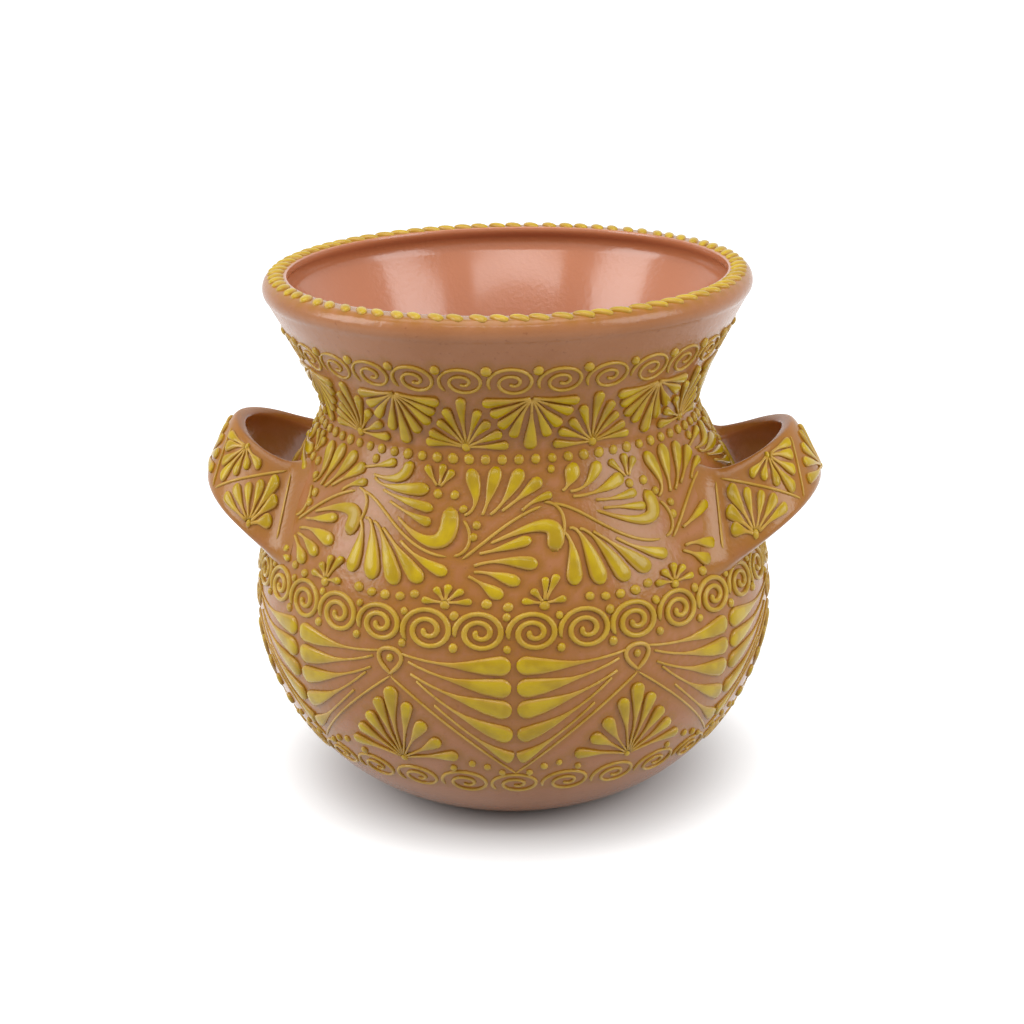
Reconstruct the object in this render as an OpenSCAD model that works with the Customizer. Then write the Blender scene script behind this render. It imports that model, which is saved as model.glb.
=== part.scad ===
// Flower pot with two strap handles, thrown in earthenware and glazed,
// with raised slip-trailed ornament all round. Millimetres, Z up.
// The origin is the middle of the foot, and the handles stand along X.

/* [Pot] */
// Height over the rope edging
pot_h = 261; // [240:1:285]
// Width over the two handles
overall_w = 306; // [296:1:330]
// Radius of the flat foot
foot_r = 61; // [55:1:75]
// Slope of the wall where it leaves the foot, degrees
foot_slope = 18; // [10:1:28]
// Radius of the belly at its widest
belly_r = 128.5; // [120:0.5:136]
// Height of the belly's widest ring
belly_z = 96; // [88:1:104]
// Radius of the neck at its narrowest
neck_r = 91.5; // [84:0.5:99]
// Height of the neck's narrowest ring
neck_z = 195.5; // [188:0.5:204]
// Thickness of the wall
wall_t = 7; // [5:0.5:9]
// Thickness of the floor
floor_t = 9; // [6:0.5:12]
// Radius of the drain hole in the floor
drain_r = 8; // [4:0.5:14]

/* [Lip and rope edging] */
// Radius of the rolled lip at its widest
lip_r = 117.5; // [110:0.5:124]
// Height of the rolled lip above its crease
lip_h = 10; // [8:0.5:13]
// Width of the lip seen from above
lip_w = 12; // [10.5:0.5:15]
// How far the lip rolls out past its crease
lip_roll = 1.6; // [0.8:0.1:3]
// Width of the flat land that carries the rope
land_w = 7; // [6:0.5:8]
// Rounding from the land to the mouth
mouth_round = 0.5; // [0.3:0.1:1]
// Width of a rope bead
bead_d = 5; // [4:0.25:5.5]
// Height of a rope bead
bead_rise = 2; // [1:0.25:3]
// Length of a rope bead
bead_l = 9; // [7:0.5:10]
// Spacing of the beads along the lip
bead_pitch = 9.7; // [9.5:0.1:13]
// Slant of a bead to the lip, degrees
bead_slant = 35; // [34:1:45]

/* [Handles] */
// Thickness of the strap
strap_t = 8.5; // [7:0.5:10]
// Rounding along the edges of the strap
strap_round = 3; // [1.5:0.5:3.4]
// Reach of the strap's upper edge from the axis
strap_top_reach = 139; // [134:1:144]
// Height of the upper edge at the end of the loop
strap_top_z = 186; // [178:1:190]
// Height of the lower edge at the end of the loop
strap_low_z = 158; // [150:1:161]
// Height of the upper edge where it joins the wall
root_top_z = 167; // [162:1:172]
// Height of the lower edge where it joins the wall
root_low_z = 132; // [129:1:137]
// Half angle between the upper corners at the wall, degrees
root_top_spread = 21; // [18:1:24]
// Half angle between the lower corners at the wall, degrees
root_low_spread = 30; // [27:1:33]
// Swell of the strap where it is luted to the wall
root_swell = 3; // [1:0.5:4]

/* [Slip trailing] */
// Width of a trailed line
line_w = 2.2; // [1.6:0.1:2.4]
// Height of a trailed line
line_rise = 1.2; // [0.6:0.1:2]
// Height of a petal
petal_rise = 1.8; // [1:0.1:2.6]
// Diameter of a dot
dot_d = 4.6; // [3:0.1:4.8]
// Height of a dot
dot_rise = 1.5; // [0.8:0.1:2.2]
// Outer radius of a spiral
spiral_r = 11; // [9:0.1:11.4]
// Depth that the slip keys into the clay
key = 0.1; // [0:0.05:0.3]

/* [Bands of ornament] */
// Spacing of the spirals
spiral_pitch = 23.4; // [23:0.1:27]
// Spacing of the collar dots
dot_pitch = 7.4; // [7:0.1:12]
// Drop from the lip's crease to the middle of the neck spirals
neck_spiral_drop = 22.5; // [20.5:0.5:22.5]
// Drop from the neck to the collar dots
collar_drop = 5.2; // [5:0.1:6.5]
// Rise from the belly to the middle of its spirals
belly_spiral_rise = 24.5; // [24:0.5:26]
// Drop from the belly to the middle of the base spirals
base_spiral_drop = 60; // [58:0.5:66]
// Pairs of fans round the neck
neck_fans = 10; // [8:1:10]
// Plumes round the shoulder
plumes = 7; // [6:1:7]
// Panels round the lower belly
panels = 7; // [6:1:7]
// Turn of the plumes from the front, degrees
plume_turn = -31.5; // [-51:0.5:51]
// Turn of the panels from the front, degrees
panel_turn = -19; // [-51:0.5:51]
// Turn of the neck fans from the front, degrees
neck_turn = 12.5; // [-36:0.5:36]

/* [Hidden] */
$fn = 96;

clay = [0.69, 0.45, 0.35];
trail = [0.83, 0.68, 0.38];
gold = [0.80, 0.70, 0.10];

// Fullness of the curves of the wall: lengths of their end tangents
foot_pull = 42;
belly_pull_low = 42;
belly_pull_high = 46;
neck_pull_low = 14;
neck_pull_high = 9;
flare_pull = 20;
flare_slope = 62;
// Steps along each curve of the wall
foot_steps = 24;
shoulder_steps = 22;
flare_steps = 14;

crest_z = pot_h - bead_rise;
mouth_r = lip_r - lip_w;
crest_r = mouth_r + mouth_round + land_w / 2;
crease = [lip_r - lip_roll, crest_z - lip_h];

// Curves in a plane
function bezier(a, b, c, d, t) =
    pow(1 - t, 3) * a + 3 * pow(1 - t, 2) * t * b + 3 * (1 - t) * t * t * c + pow(t, 3) * d;
function bow(a, b, c, t) = pow(1 - t, 2) * a + 2 * (1 - t) * t * b + t * t * c;
function mix(a, b, t) = a + (b - a) * t;
function unit(v) = v / norm(v);
function heading(a) = [sin(a), cos(a)];

// The outside of the wall, from the foot to the crease under the lip, as radius and height
foot_pt = [foot_r, 0];
belly_pt = [belly_r, belly_z];
neck_pt = [neck_r, neck_z];
OUTSIDE = [
    for (i = [0 : foot_steps - 1])
        bezier(foot_pt, foot_pt + foot_pull * [cos(foot_slope), sin(foot_slope)],
               belly_pt - [0, belly_pull_low], belly_pt, i / foot_steps),
    for (i = [0 : shoulder_steps - 1])
        bezier(belly_pt, belly_pt + [0, belly_pull_high],
               neck_pt - [0, neck_pull_low], neck_pt, i / shoulder_steps),
    for (i = [0 : flare_steps])
        bezier(neck_pt, neck_pt + [0, neck_pull_high],
               crease - flare_pull * [cos(flare_slope), sin(flare_slope)], crease, i / flare_steps)
];
last = len(OUTSIDE) - 1;
// Distance along the wall at each point, and the lean of the wall's outward normal there
ALONG = [for (i = 0, s = 0; i <= last;
              i = i + 1, s = s + (i <= last ? norm(OUTSIDE[i] - OUTSIDE[i - 1]) : 0)) s];
LEAN = [for (i = [0 : last])
    let (d = OUTSIDE[min(i + 1, last)] - OUTSIDE[max(i - 1, 0)]) atan2(-d.x, d.y)];
R_OF_S = [for (i = [0 : last]) [ALONG[i], OUTSIDE[i].x]];
Z_OF_S = [for (i = [0 : last]) [ALONG[i], OUTSIDE[i].y]];
LEAN_OF_S = [for (i = [0 : last]) [ALONG[i], LEAN[i]]];
R_OF_Z = [for (p = OUTSIDE) [p.y, p.x]];

function wall_r(z) = lookup(z, R_OF_Z);
function on_wall(turn, s, h) =
    let (r = lookup(s, R_OF_S), lean = lookup(s, LEAN_OF_S), out = r + h * cos(lean))
    [out * sin(turn), -out * cos(turn), lookup(s, Z_OF_S) + h * sin(lean)];

// Heights of the bands, measured along the wall
belly_s = ALONG[foot_steps];
neck_s = ALONG[foot_steps + shoulder_steps];
crease_s = ALONG[last];
neck_spiral_s = crease_s - neck_spiral_drop;
collar_s = neck_s - collar_drop;
belly_spiral_s = belly_s + belly_spiral_rise;
base_spiral_s = belly_s - base_spiral_drop;

// The inside of the wall keeps the wall's thickness up to the mouth
INSIDE = [for (i = [0 : last])
    OUTSIDE[i] - wall_t * [cos(LEAN[i]), sin(LEAN[i])]];
neck_i = foot_steps + shoulder_steps;
inside_wall = [for (i = [0 : last])
    if (INSIDE[i].y > floor_t + wall_t / 2 && (i < neck_i || INSIDE[i].x < mouth_r - 0.5)) INSIDE[i]];
floor_corner = [inside_wall[0].x - wall_t / 2, floor_t];

// Rounding of the lip
lip_steps = 6;
lip_mid_z = crease.y + lip_h * 0.42;
land_out = crest_r + land_w / 2;
land_in = crest_r - land_w / 2;
lip_outside = [
    for (i = [1 : lip_steps])
        bow(crease, [lip_r, crease.y + lip_h * 0.18], [lip_r, lip_mid_z], i / lip_steps),
    for (a = [15 : 15 : 90])
        [land_out + (lip_r - land_out) * cos(a), lip_mid_z + (crest_z - lip_mid_z) * sin(a)]
];
lip_inside = [
    for (a = [90 : -15 : 0])
        [land_in - (land_in - mouth_r) * cos(a), crest_z - lip_h * 0.4 * (1 - sin(a))]
];

module body() color(clay) rotate_extrude()
    polygon(concat([[drain_r, 0]], OUTSIDE, lip_outside, lip_inside,
                   [for (i = [len(inside_wall) - 1 : -1 : 0]) inside_wall[i]],
                   [floor_corner, [drain_r, floor_t]]));

// Strap handles

// The rounding takes this share of its radius off the reach of the lower edge
edge_cut = 0.39;
strap_low_reach = overall_w / 2 + strap_round * edge_cut;
// One edge of the strap's outer face: phi is 0 at the end of the loop and 90 at the wall
function strap_edge(reach, end_z, spread, root_z, phi) =
    let (r = wall_r(root_z), root = [r * cos(spread), r * sin(spread)])
    [mix(root.x, reach, cos(phi)), root.y * sin(phi), mix(root_z, end_z, cos(phi))];
function strap_top(phi) =
    strap_edge(strap_top_reach, strap_top_z, root_top_spread, root_top_z, phi);
function strap_low(phi) =
    strap_edge(strap_low_reach, strap_low_z, root_low_spread, root_low_z, phi);
function strap_w(phi) = norm(strap_top(phi) - strap_low(phi));
// Outward normal of the strap's face
function strap_out(phi) = unit(cross(
    mix(strap_low(phi + 1), strap_top(phi + 1), 0.5) - mix(strap_low(phi - 1), strap_top(phi - 1), 0.5),
    strap_top(phi) - strap_low(phi)));
// Point of the strap: q across it from its middle, h above its outer face
function on_strap(phi, q, h) =
    mix(strap_low(phi), strap_top(phi), 0.5 + q / strap_w(phi)) + h * strap_out(phi);
// The end of the strap follows the wall
function to_wall(p) = let (k = (wall_r(p.z) - key) / norm([p.x, p.y])) [p.x * k, p.y * k, p.z];

strap_stations = [-90, -80, -70, -58, -45, -30, -15, 0, 15, 30, 45, 58, 70, 80, 90];
corner_turns = [0, 45, 90];
function swell(phi) = root_swell * pow(max(abs(phi) - 58, 0) / 32, 2);
// Outline of the strap, square to its length: across and above its outer face
function strap_section(phi) =
    let (half = strap_w(phi) / 2 + swell(phi), s = swell(phi), r = strap_round)
    concat([for (a = corner_turns) [half - r + r * sin(a), s - r + r * cos(a)]],
           [for (a = corner_turns) [half - r + r * cos(a), -strap_t - s + r - r * sin(a)]],
           [for (a = corner_turns) [-half + r - r * sin(a), -strap_t - s + r - r * cos(a)]],
           [for (a = corner_turns) [-half + r - r * cos(a), s - r + r * sin(a)]]);
ring = 4 * len(corner_turns);

function strap_point(phi, p) =
    let (q = on_strap(phi, p.x, p.y)) abs(phi) == 90 ? to_wall(q) : q;
function strap_points() = [for (phi = strap_stations, p = strap_section(phi)) strap_point(phi, p)];
// Strips that close one end, from the upper edge to the lower one
function strap_end(first, flip) = [for (i = [0 : ring / 2 - 2])
    let (a = first + i, b = first + i + 1, c = first + ring - 2 - i, d = first + ring - 1 - i)
    each flip ? [[a, c, b], [a, d, c]] : [[a, b, c], [a, c, d]]];
strap_faces = concat(
    [for (k = [0 : len(strap_stations) - 2], i = [0 : ring - 1])
        let (j = (i + 1) % ring, a = k * ring)
        each [[a + i, a + ring + j, a + ring + i], [a + i, a + j, a + ring + j]]],
    strap_end(0, true), strap_end((len(strap_stations) - 1) * ring, false));

module strap() polyhedron(strap_points(), strap_faces);
module handle_right() color(clay) strap();
module handle_left() color(clay) rotate([0, 0, 180]) strap();

// Slip trailing

// A place to draw: a function that takes [across, up] and a height, and gives a point
function wall_place(turn, s, across = 0, up = 1) =
    let (per_mm = across == 0 ? 180 / PI / lookup(s, R_OF_S) : across)
    function(p, h) on_wall(turn + p.x * per_mm, s + p.y * up, h);

// One ridge of slip along a path, pointed at both ends. Its crest is sharp, or flat over the share
// of its width that crown gives
function ridge(place, path, wide, rise, crown = 0) =
    let (n = len(path) - 1)
    [place(path[0], -key),
     for (i = [1 : n - 1])
         let (d = unit(path[i + 1] - path[i - 1]), side = [-d.y, d.x] * wide[i] / 2)
         each concat([place(path[i] + side, -key)],
                     [for (c = crown > 0 ? [crown, -crown] : [0]) place(path[i] + c * side, rise[i])],
                     [place(path[i] - side, -key)]),
     place(path[n], -key)];
// Its faces: n rings of k points between its two ends, numbered from o
function ridge_faces(n, o, k) = let (e = o + 1 + k * n)
    [for (j = [0 : k - 1]) let (m = (j + 1) % k) each concat(
        [[o, o + 1 + j, o + 1 + m]],
        [for (i = [0 : n - 2]) let (b = o + 1 + k * i)
            each [[b + j, b + k + j, b + k + m], [b + j, b + k + m, b + m]]],
        [[e - k + j, e, e - k + m]])];

// A trailed line of even width
function line(place, path) =
    ridge(place, path, [for (p = path) line_w], [for (p = path) line_rise]);
// A line that bends through one point between its ends
line_stations = 3;
function bent_line(place, a, through, b) = line(place, [for (i = [0 : line_stations])
    bow(a, 2 * through - (a + b) / 2, b, i / line_stations)]);
// A drop: a thin tail that swells to a round head. Each shape is [place along it, share of its width]
long_drop = [[0, 0], [0.42, 0.5], [0.8, 1], [1, 0]];
short_drop = [[0, 0], [0.72, 1], [1, 0]];
function drop(place, tail, through, head, wide, shape = long_drop, crown = 0) =
    let (ctrl = 2 * through - (tail + head) / 2)
    ridge(place, [for (k = shape) bow(tail, ctrl, head, k.x)], [for (k = shape) k.y * wide],
          [for (k = shape) petal_rise * mix(0.3, 1, k.y)], crown);
// Full drops in a row, each given as [tail, middle, head, width]
full = 0.55;
function drops(place, row) = [for (d = row) drop(place, d[0], d[1], d[2], d[3], crown = full)];
// A fan of petals from a root, each to a head given as [across, up, width]. They start at a share of
// their way from the root
function fan(place, root, heads, start = 0.2, shape = short_drop) = [for (h = heads)
    let (head = [h.x, h.y], tail = mix(root, head, start))
    drop(place, tail, (tail + head) / 2, head, h.z, shape)];
// What stands to one side of a middle line, and again on the other side
function paired(heads) = [for (h = heads, side = [-1, 1]) [side * h.x, h.y, h.z]];
// A spiral that starts at its lower left and winds inwards, with shorter steps on its outer turn
spiral_turns = 2;
function spiral(place, stations, stretch = 1) = line(place, [for (i = [0 : stations])
    let (t = pow(i / stations, 1.2), a = 215 - 360 * spiral_turns * t,
         r = spiral_r * mix(1.04, 0.12, pow(t, 1.1)))
    r * [stretch * cos(a), sin(a)]]);

// Slip stays clear of the roots of the handles
root_clear = 2.5;
// Share of a dot's width at its top
dot_top = 0.55;
function clear_of_roots(p) =
    let (off = abs(abs(atan2(p.x, -p.y)) - 90),
         up = (p.z - root_low_z) / (root_top_z - root_low_z),
         per_mm = 180 / PI / belly_r,
         strap_off = mix(root_low_spread, root_top_spread, up) - off,
         margin = (root_swell + root_clear) * per_mm)
    p.z < root_low_z - root_swell - root_clear || p.z > root_top_z + root_swell + root_clear
    || strap_off < -margin || strap_off > strap_t * 1.4 * per_mm + margin;
function all_clear(points) = len([for (p = points) if (!clear_of_roots(p)) 1]) == 0;

// The ridges of one band, as one group of separate solids, with k points round each ring
module slip(ridges, k = 3) {
    starts = [for (i = 0, o = 0; i < len(ridges); o = o + len(ridges[i]), i = i + 1) o];
    polyhedron([for (points = ridges) each points],
               [for (i = [0 : len(ridges) - 1])
                   each ridge_faces((len(ridges[i]) - 2) / k, starts[i], k)]);
}
// A band on the wall leaves out what would run onto the root of a handle
module band(ridges, k = 3) slip([for (points = ridges) if (all_clear(points)) points], k);
// Dots at [turn, distance along the wall], each a low cone with a flat top
module dots(places, d = dot_d) for (p = places) if (clear_of_roots(on_wall(p.x, p.y, 0)))
    translate(on_wall(p.x, p.y, -key)) rotate([90 - lookup(p.y, LEAN_OF_S), 0, p.x])
        cylinder(h = dot_rise + key, d1 = d, d2 = d * dot_top);
function count_at(s, pitch) = floor(2 * PI * lookup(s, R_OF_S) / pitch);
function round_wall(n, turn = 0) = [for (i = [0 : n - 1]) turn + 360 * i / n];

// Rope edging: slanted beads on the land of the lip

beads = floor(2 * PI * crest_r / bead_pitch);
bead_shape = [0, 1, 1, 0];
bead_ends = [-0.5, -0.25, 0.25, 0.5];
function land_place(turn) = function(p, h)
    let (out = crest_r + p.x)
    [out * cos(turn) - p.y * sin(turn), out * sin(turn) + p.y * cos(turn), crest_z + h];
module rim_rope() color(gold) slip([for (turn = round_wall(beads))
    ridge(land_place(turn), [for (t = bead_ends) bead_l * t * heading(bead_slant)],
          bead_shape * bead_d, bead_shape * bead_rise)]);

// Neck

// The neck spirals stand closer than the others, and are lower than they are wide
neck_squeeze = 0.94;
neck_squash = 0.8;
neck_spiral_n = count_at(neck_spiral_s, spiral_pitch * neck_squeeze);
neck_spiral_turn = 7.7;
neck_spiral_stations = 12;
module neck_spirals() color(trail) band([for (a = round_wall(neck_spiral_n, neck_spiral_turn))
    spiral(wall_place(a, neck_spiral_s, up = neck_squash), neck_spiral_stations, neck_squeeze)]);
module neck_dots() color(gold)
    dots([for (a = round_wall(neck_spiral_n, neck_spiral_turn + 180 / neck_spiral_n))
        [a, neck_spiral_s + spiral_r * neck_squash * 0.76]]);

// The fans are drawn for a cell of this width and height above the narrowest ring
neck_cell_w = 62;
neck_cell_h = 28;
neck_fan_top = neck_spiral_s - spiral_r * neck_squash - 0.75;
neck_across = 360 / neck_fans / neck_cell_w;
neck_up = (neck_fan_top - neck_s) / neck_cell_h;
module neck_hanging_fans() color(gold) band([for (a = round_wall(neck_fans, neck_turn))
    each fan(wall_place(a, neck_s, neck_across, neck_up), [0, neck_cell_h], concat([[0, -0.8, 4.8]],
        paired([[8, 6, 4.2], [14.4, 11.6, 4.2], [18.6, 18.4, 4.2], [21.5, 25.2, 4.2]])))]);
fan_root_rise = 0.5;
standing_turn = neck_turn + 180 / neck_fans;
module neck_standing_fans() color(gold) band([for (a = round_wall(neck_fans, standing_turn))
    each fan(wall_place(a, neck_s, neck_across, neck_up), [0, fan_root_rise], concat([[0, 27.6, 4]],
        paired([[7.2, 21.8, 3.6], [12, 14.6, 3.6], [17.4, 8.2, 3.6], [20.4, 1.6, 3.6]])), 0.25)]);
fan_dot_d = dot_d * 0.9;
module neck_fan_dots() color(gold)
    dots([for (a = round_wall(neck_fans, standing_turn)) [a, neck_s + fan_root_rise]], fan_dot_d);

collar_n = count_at(collar_s, dot_pitch);
module collar_dots() color(gold) dots([for (a = round_wall(collar_n)) [a, collar_s]]);

// Shoulder: running plumes, drawn for a cell of this width and height

belly_squash = 0.82;
plume_cell_w = 94;
plume_cell_h = 62;
plume_top = collar_s - dot_d / 2 - 2.1;
plume_low = belly_spiral_s + spiral_r * belly_squash + 3.8;
plume_across = 360 / plumes / plume_cell_w;
plume_up = (plume_top - plume_low) / plume_cell_h;
PLUMES = [for (i = [0 : plumes - 1]) i];
function plume_at(i) =
    wall_place(plume_turn + 360 * i / plumes, plume_low, plume_across, plume_up);

// Upper row of the falling plume, as two trailings that take turns round the pot
falling_upper = [
    [[[-6, 57.2], [2, 59.4], [9.6, 62], 4.6], [[1.5, 51.2], [12, 49.8], [30.5, 51.4], 6.4],
     [[8.5, 47.2], [18, 45], [34, 42.2], 4.8], [[16, 41.4], [25.5, 38], [34, 35.6], 4.6]],
    [[[1.6, 51.4], [4.8, 55.4], [8.6, 63.4], 7.4], [[7.6, 50.4], [14.8, 54.2], [21.2, 62.6], 5.8],
     [[9.6, 47.6], [20.6, 49.4], [32.6, 54], 6.2], [[19, 44.4], [27.5, 44.2], [37.4, 45.2], 4.4],
     [[22, 40.2], [30.5, 39.2], [40, 37.6], 4.2]]];
falling_lower = [
    [[-0.8, 31], [1.4, 22.6], [0.2, 7.4], 6.8], [[3.2, 33], [7.6, 24.8], [11.4, 6.2], 7.4],
    [[8.2, 31.4], [14.8, 22.6], [22.6, 5.8], 7.4], [[14.6, 27.8], [23.2, 19.4], [33.4, 8.4], 7.2],
    [[24.4, 23.4], [33, 18], [43.8, 13.4], 5.8]];
rising_upper = [
    [[51.6, 42], [53.6, 49.6], [49.8, 61.8], 7.4], [[57.8, 42.6], [60.2, 50.6], [63.4, 63.2], 7.4],
    [[63.2, 43.2], [69.2, 51], [75.4, 61.8], 7], [[69, 45], [76.6, 50.8], [84.8, 57], 6],
    [[76.6, 44.2], [82, 47.4], [89.4, 49.6], 3.8]];
rising_lower = [
    [[58.4, 23.4], [66, 25.6], [78.4, 29.6], 4.8], [[58, 18.6], [68, 19.6], [80.4, 17.6], 6.6],
    [[57, 14.6], [64, 13.2], [73, 9.4], 6], [[54.6, 11.4], [60, 7.8], [66, 3], 6.4]];
// Commas that curl at the ends of the stems: four points of their curve and a width
hooks = [
    [[[-3.5, 54.2], [10, 52], [19.5, 54.4], [17, 63.6], 5.8],
     [[16.5, 37.6], [30, 25.6], [47, 19.4], [41.8, 45.2], 8.4]],
    [[[14, 40.4], [30, 32], [49.6, 23.8], [42.2, 46], 6.6]]];
rising_comma = [[60, 27.2], [75, 34], [97, 44.5], [85, 23.6], 7.6];
comma_stations = 6;
comma_shape = [0, 0.3, 0.5, 0.8, 1, 0.8, 0];
function comma(at, c) = ridge(at,
    [for (i = [0 : comma_stations]) bezier(c[0], c[1], c[2], c[3], i / comma_stations)],
    comma_shape * c[4], [for (w = comma_shape) petal_rise * mix(0.3, 1, w)], full);
module shoulder_plumes() color(gold) band([for (i = PLUMES) let (at = plume_at(i), kind = i % 2)
    each concat(drops(at, falling_upper[kind]), drops(at, falling_lower),
                drops(at, rising_upper), drops(at, rising_lower),
                [for (c = hooks[kind]) comma(at, c)], [comma(at, rising_comma)])], 4);

// Stems that the rows spring from
stem_stations = 5;
function stem(at, a, b, c, d) =
    line(at, [for (i = [0 : stem_stations]) bezier(a, b, c, d, i / stem_stations)]);
module shoulder_stems() color(trail) band([for (i = PLUMES) let (at = plume_at(i)) each [
    stem(at, [-7.6, 45.2], [9, 46.4], [22, 20.6], [44, 20.8]),
    stem(at, [45.4, 21.2], [53.4, 22.6], [54, 33], [48.4, 38.4]),
    stem(at, [48.8, 19.4], [60.5, 30.2], [70, 40.4], [84.6, 44.6])]]);

// Three-petal buds under the collar and small fans over the belly spirals
bud_root = [35.2, 52.6];
small_root = [43.8, 0];
tall_root = [82, 0];
module shoulder_buds() color(gold) band([for (i = PLUMES) let (at = plume_at(i)) each concat(
    fan(at, bud_root, [[27, 61.6, 3.6], [36.2, 63.4, 3.6], [42, 61, 3.6]]),
    fan(at, small_root, [[35.4, 1.2, 3], [39.6, 6, 3], [44.8, 7.6, 3], [50.2, 6, 3], [54, 1.2, 3]], 0.28),
    fan(at, tall_root, [[73.8, 1.6, 3.2], [77.4, 6.4, 3.2], [82.6, 11.6, 3.2], [88, 12.4, 3.2],
                        [90.4, 2.2, 3.2]], 0.28))]);

// Dots in the plain spots between the plumes, and at the roots of the fans and buds
root_gap = 1;
bud_gap = 3;
plain_spots = [[43.6, 49.6], [48.3, 43.2], [54.8, 36], [90.2, 61.4], [60, 0.2], [68.2, -1.2],
               [6, 1.4], [12.4, 0.4], [18.6, 0.4], [25.2, 0.8], [31.2, 2.6]];
shoulder_dot_d = dot_d * 0.85;
module shoulder_dots() color(gold) dots([
    for (i = PLUMES, p = concat(plain_spots, [bud_root - [0, bud_gap], small_root - [0, root_gap],
                                              tall_root - [0, root_gap]]))
        [plume_turn + 360 * i / plumes + p.x * plume_across, plume_low + p.y * plume_up]],
    shoulder_dot_d);

// Belly spirals, with dots over and under the gaps between them

belly_stretch = 1.04;
belly_spiral_n = count_at(belly_spiral_s, spiral_pitch);
belly_spiral_stations = 13;
module belly_spirals() color(trail) band([for (a = round_wall(belly_spiral_n))
    spiral(wall_place(a, belly_spiral_s, up = belly_squash), belly_spiral_stations, belly_stretch)]);
belly_dot_d = dot_d * 0.74;
belly_dot_off = spiral_r * belly_squash * 0.8;
module belly_dots() color(gold)
    dots([for (a = round_wall(belly_spiral_n, 180 / belly_spiral_n), off = [-belly_dot_off, belly_dot_off])
        [a, belly_spiral_s + off]], belly_dot_d);

// Lower belly: a zigzag with a loop at each top, drawn for a panel of this width

panel_w = 115;
panel_across = 360 / panels / panel_w;
panel_foot = [51.6, -47.4];
loop_root = [1.6, 1.2];
loop_pull = [23, 17.6];
loop_eye = [0, 9.3];
function panel_places() =
    [for (a = round_wall(panels, panel_turn)) wall_place(a, belly_s, panel_across)];
function flip(p) = [-p.x, p.y];
leg_stations = 5;
loop_stations = 8;
module belly_lattice() color(trail) band([for (at = panel_places()) each [
    for (side = [-1, 1]) line(at, [for (i = [0 : leg_stations])
        bow([side * 2.2, -1.2], [side * 25, -19], [side * panel_foot.x, panel_foot.y], i / leg_stations)]),
    line(at, [for (i = [0 : loop_stations])
        bezier(flip(loop_root), loop_pull, flip(loop_pull), loop_root, i / loop_stations)])]]);

// Paired columns of drops that meet between the panels, their tails drawn up to the loops
feather_x = 56.3;
feathers = [
    [[10, 11.4], [32, 9.4], [feather_x, 10.2], 7.6], [[13, 7.4], [33, 1.8], [feather_x, -1], 7.4],
    [[14, 1.4], [33.4, -6.4], [feather_x, -12.4], 7.4], [[19, -5], [36, -16.8], [feather_x, -26.4], 7],
    [[33, -22.4], [44.6, -32], [feather_x, -40], 5.6]];
module belly_feathers() color(gold) band([for (at = panel_places()) each concat(
    drops(at, feathers),
    drops(at, [for (f = feathers) [flip(f[0]), flip(f[1]), flip(f[2]), f[3]]]))], 4);

fan_root = [0, -45];
module belly_fans() color(gold) band([for (at = panel_places())
    each fan(at, fan_root, concat([[0, -4.6, 5.6]],
        paired([[7.5, -11.6, 4.6], [14.6, -20.4, 5.2], [21.8, -30, 5], [29, -39.4, 4.4]])),
        shape = long_drop)]);

// Base

base_squash = 0.8;
base_spiral_n = count_at(base_spiral_s, spiral_pitch);
base_spiral_turn = -5.2;
base_spiral_stations = 11;
module base_spirals() color(trail) band([for (a = round_wall(base_spiral_n, base_spiral_turn))
    spiral(wall_place(a, base_spiral_s, up = base_squash), base_spiral_stations)]);
base_dot_d = dot_d * 0.67;
base_spots = [[37.4, -44.4], [43.4, -46.2]];
module base_dots() color(gold) dots([
    for (a = round_wall(panels, panel_turn),
         p = concat([fan_root, loop_eye], base_spots, [for (p = base_spots) flip(p)]))
        [a + p.x * panel_across, belly_s + p.y]], base_dot_d);

// Trailing on the outside of the straps

// Drawn in degrees of the loop and in millimetres across the strap at the end of the loop, where a
// degree is about a millimetre long. The drawing widens with the strap, and lies on its flat facets.
trim_edge = strap_w(0) / 2 - strap_round - 0.3;
function strap_place(side) = function(p, h)
    let (a = max([for (s = strap_stations) if (s <= p.x) s]),
         b = min([for (s = strap_stations) if (s > p.x) s]),
         q = mix(strap_point(a, [p.y * strap_w(a) / strap_w(0), h + swell(a)]),
                 strap_point(b, [p.y * strap_w(b) / strap_w(0), h + swell(b)]), (p.x - a) / (b - a)))
    [side * q.x, side * q.y, q.z];
// One half of the drawing, and the same on the other side of the end of the loop
function turned(way, heads) = [for (h = heads) [way * h.x, h.y, h.z]];
module strap_trim(side) {
    at = strap_place(side);
    root = trim_edge - 1;
    slip(concat(
        fan(at, [0, -root], concat([[0, 11, 3.8]], paired([[8, 9, 3.6], [14.6, 4, 3.6], [19.4, -2.4, 3.6]])),
            0.25),
        [for (way = [-1, 1]) each concat(
            fan(at, [way * 42, root], turned(way, [[60, 11.4, 3.6], [52.5, 6.6, 3.6], [44, 0.6, 3.6],
                [36.6, -5, 3.6], [30.4, 3.6, 3.6], [27.4, 9.6, 3.6]]), 0.25),
            fan(at, [way * 69, -root], turned(way, [[76.6, 8.6, 4.4], [67.6, 5, 3.6], [60, 0.4, 3.6],
                [53, -4.4, 3.6], [51, -10, 3.6], [78.6, 0.6, 3.6], [79, -7, 3.6]]), 0.25),
            [bent_line(at, [way * 19.6, trim_edge], [way * 26.6, 1], [way * 31.6, -trim_edge]),
             bent_line(at, [way * 38, -root], [way * 56, 3.4], [way * 79, trim_edge]),
             bent_line(at, [way * 82, trim_edge], [way * 83.4, 0], [way * 84.6, -trim_edge])])]));
}
module handle_right_trim() color(gold) strap_trim(1);
module handle_left_trim() color(gold) strap_trim(-1);

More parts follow.
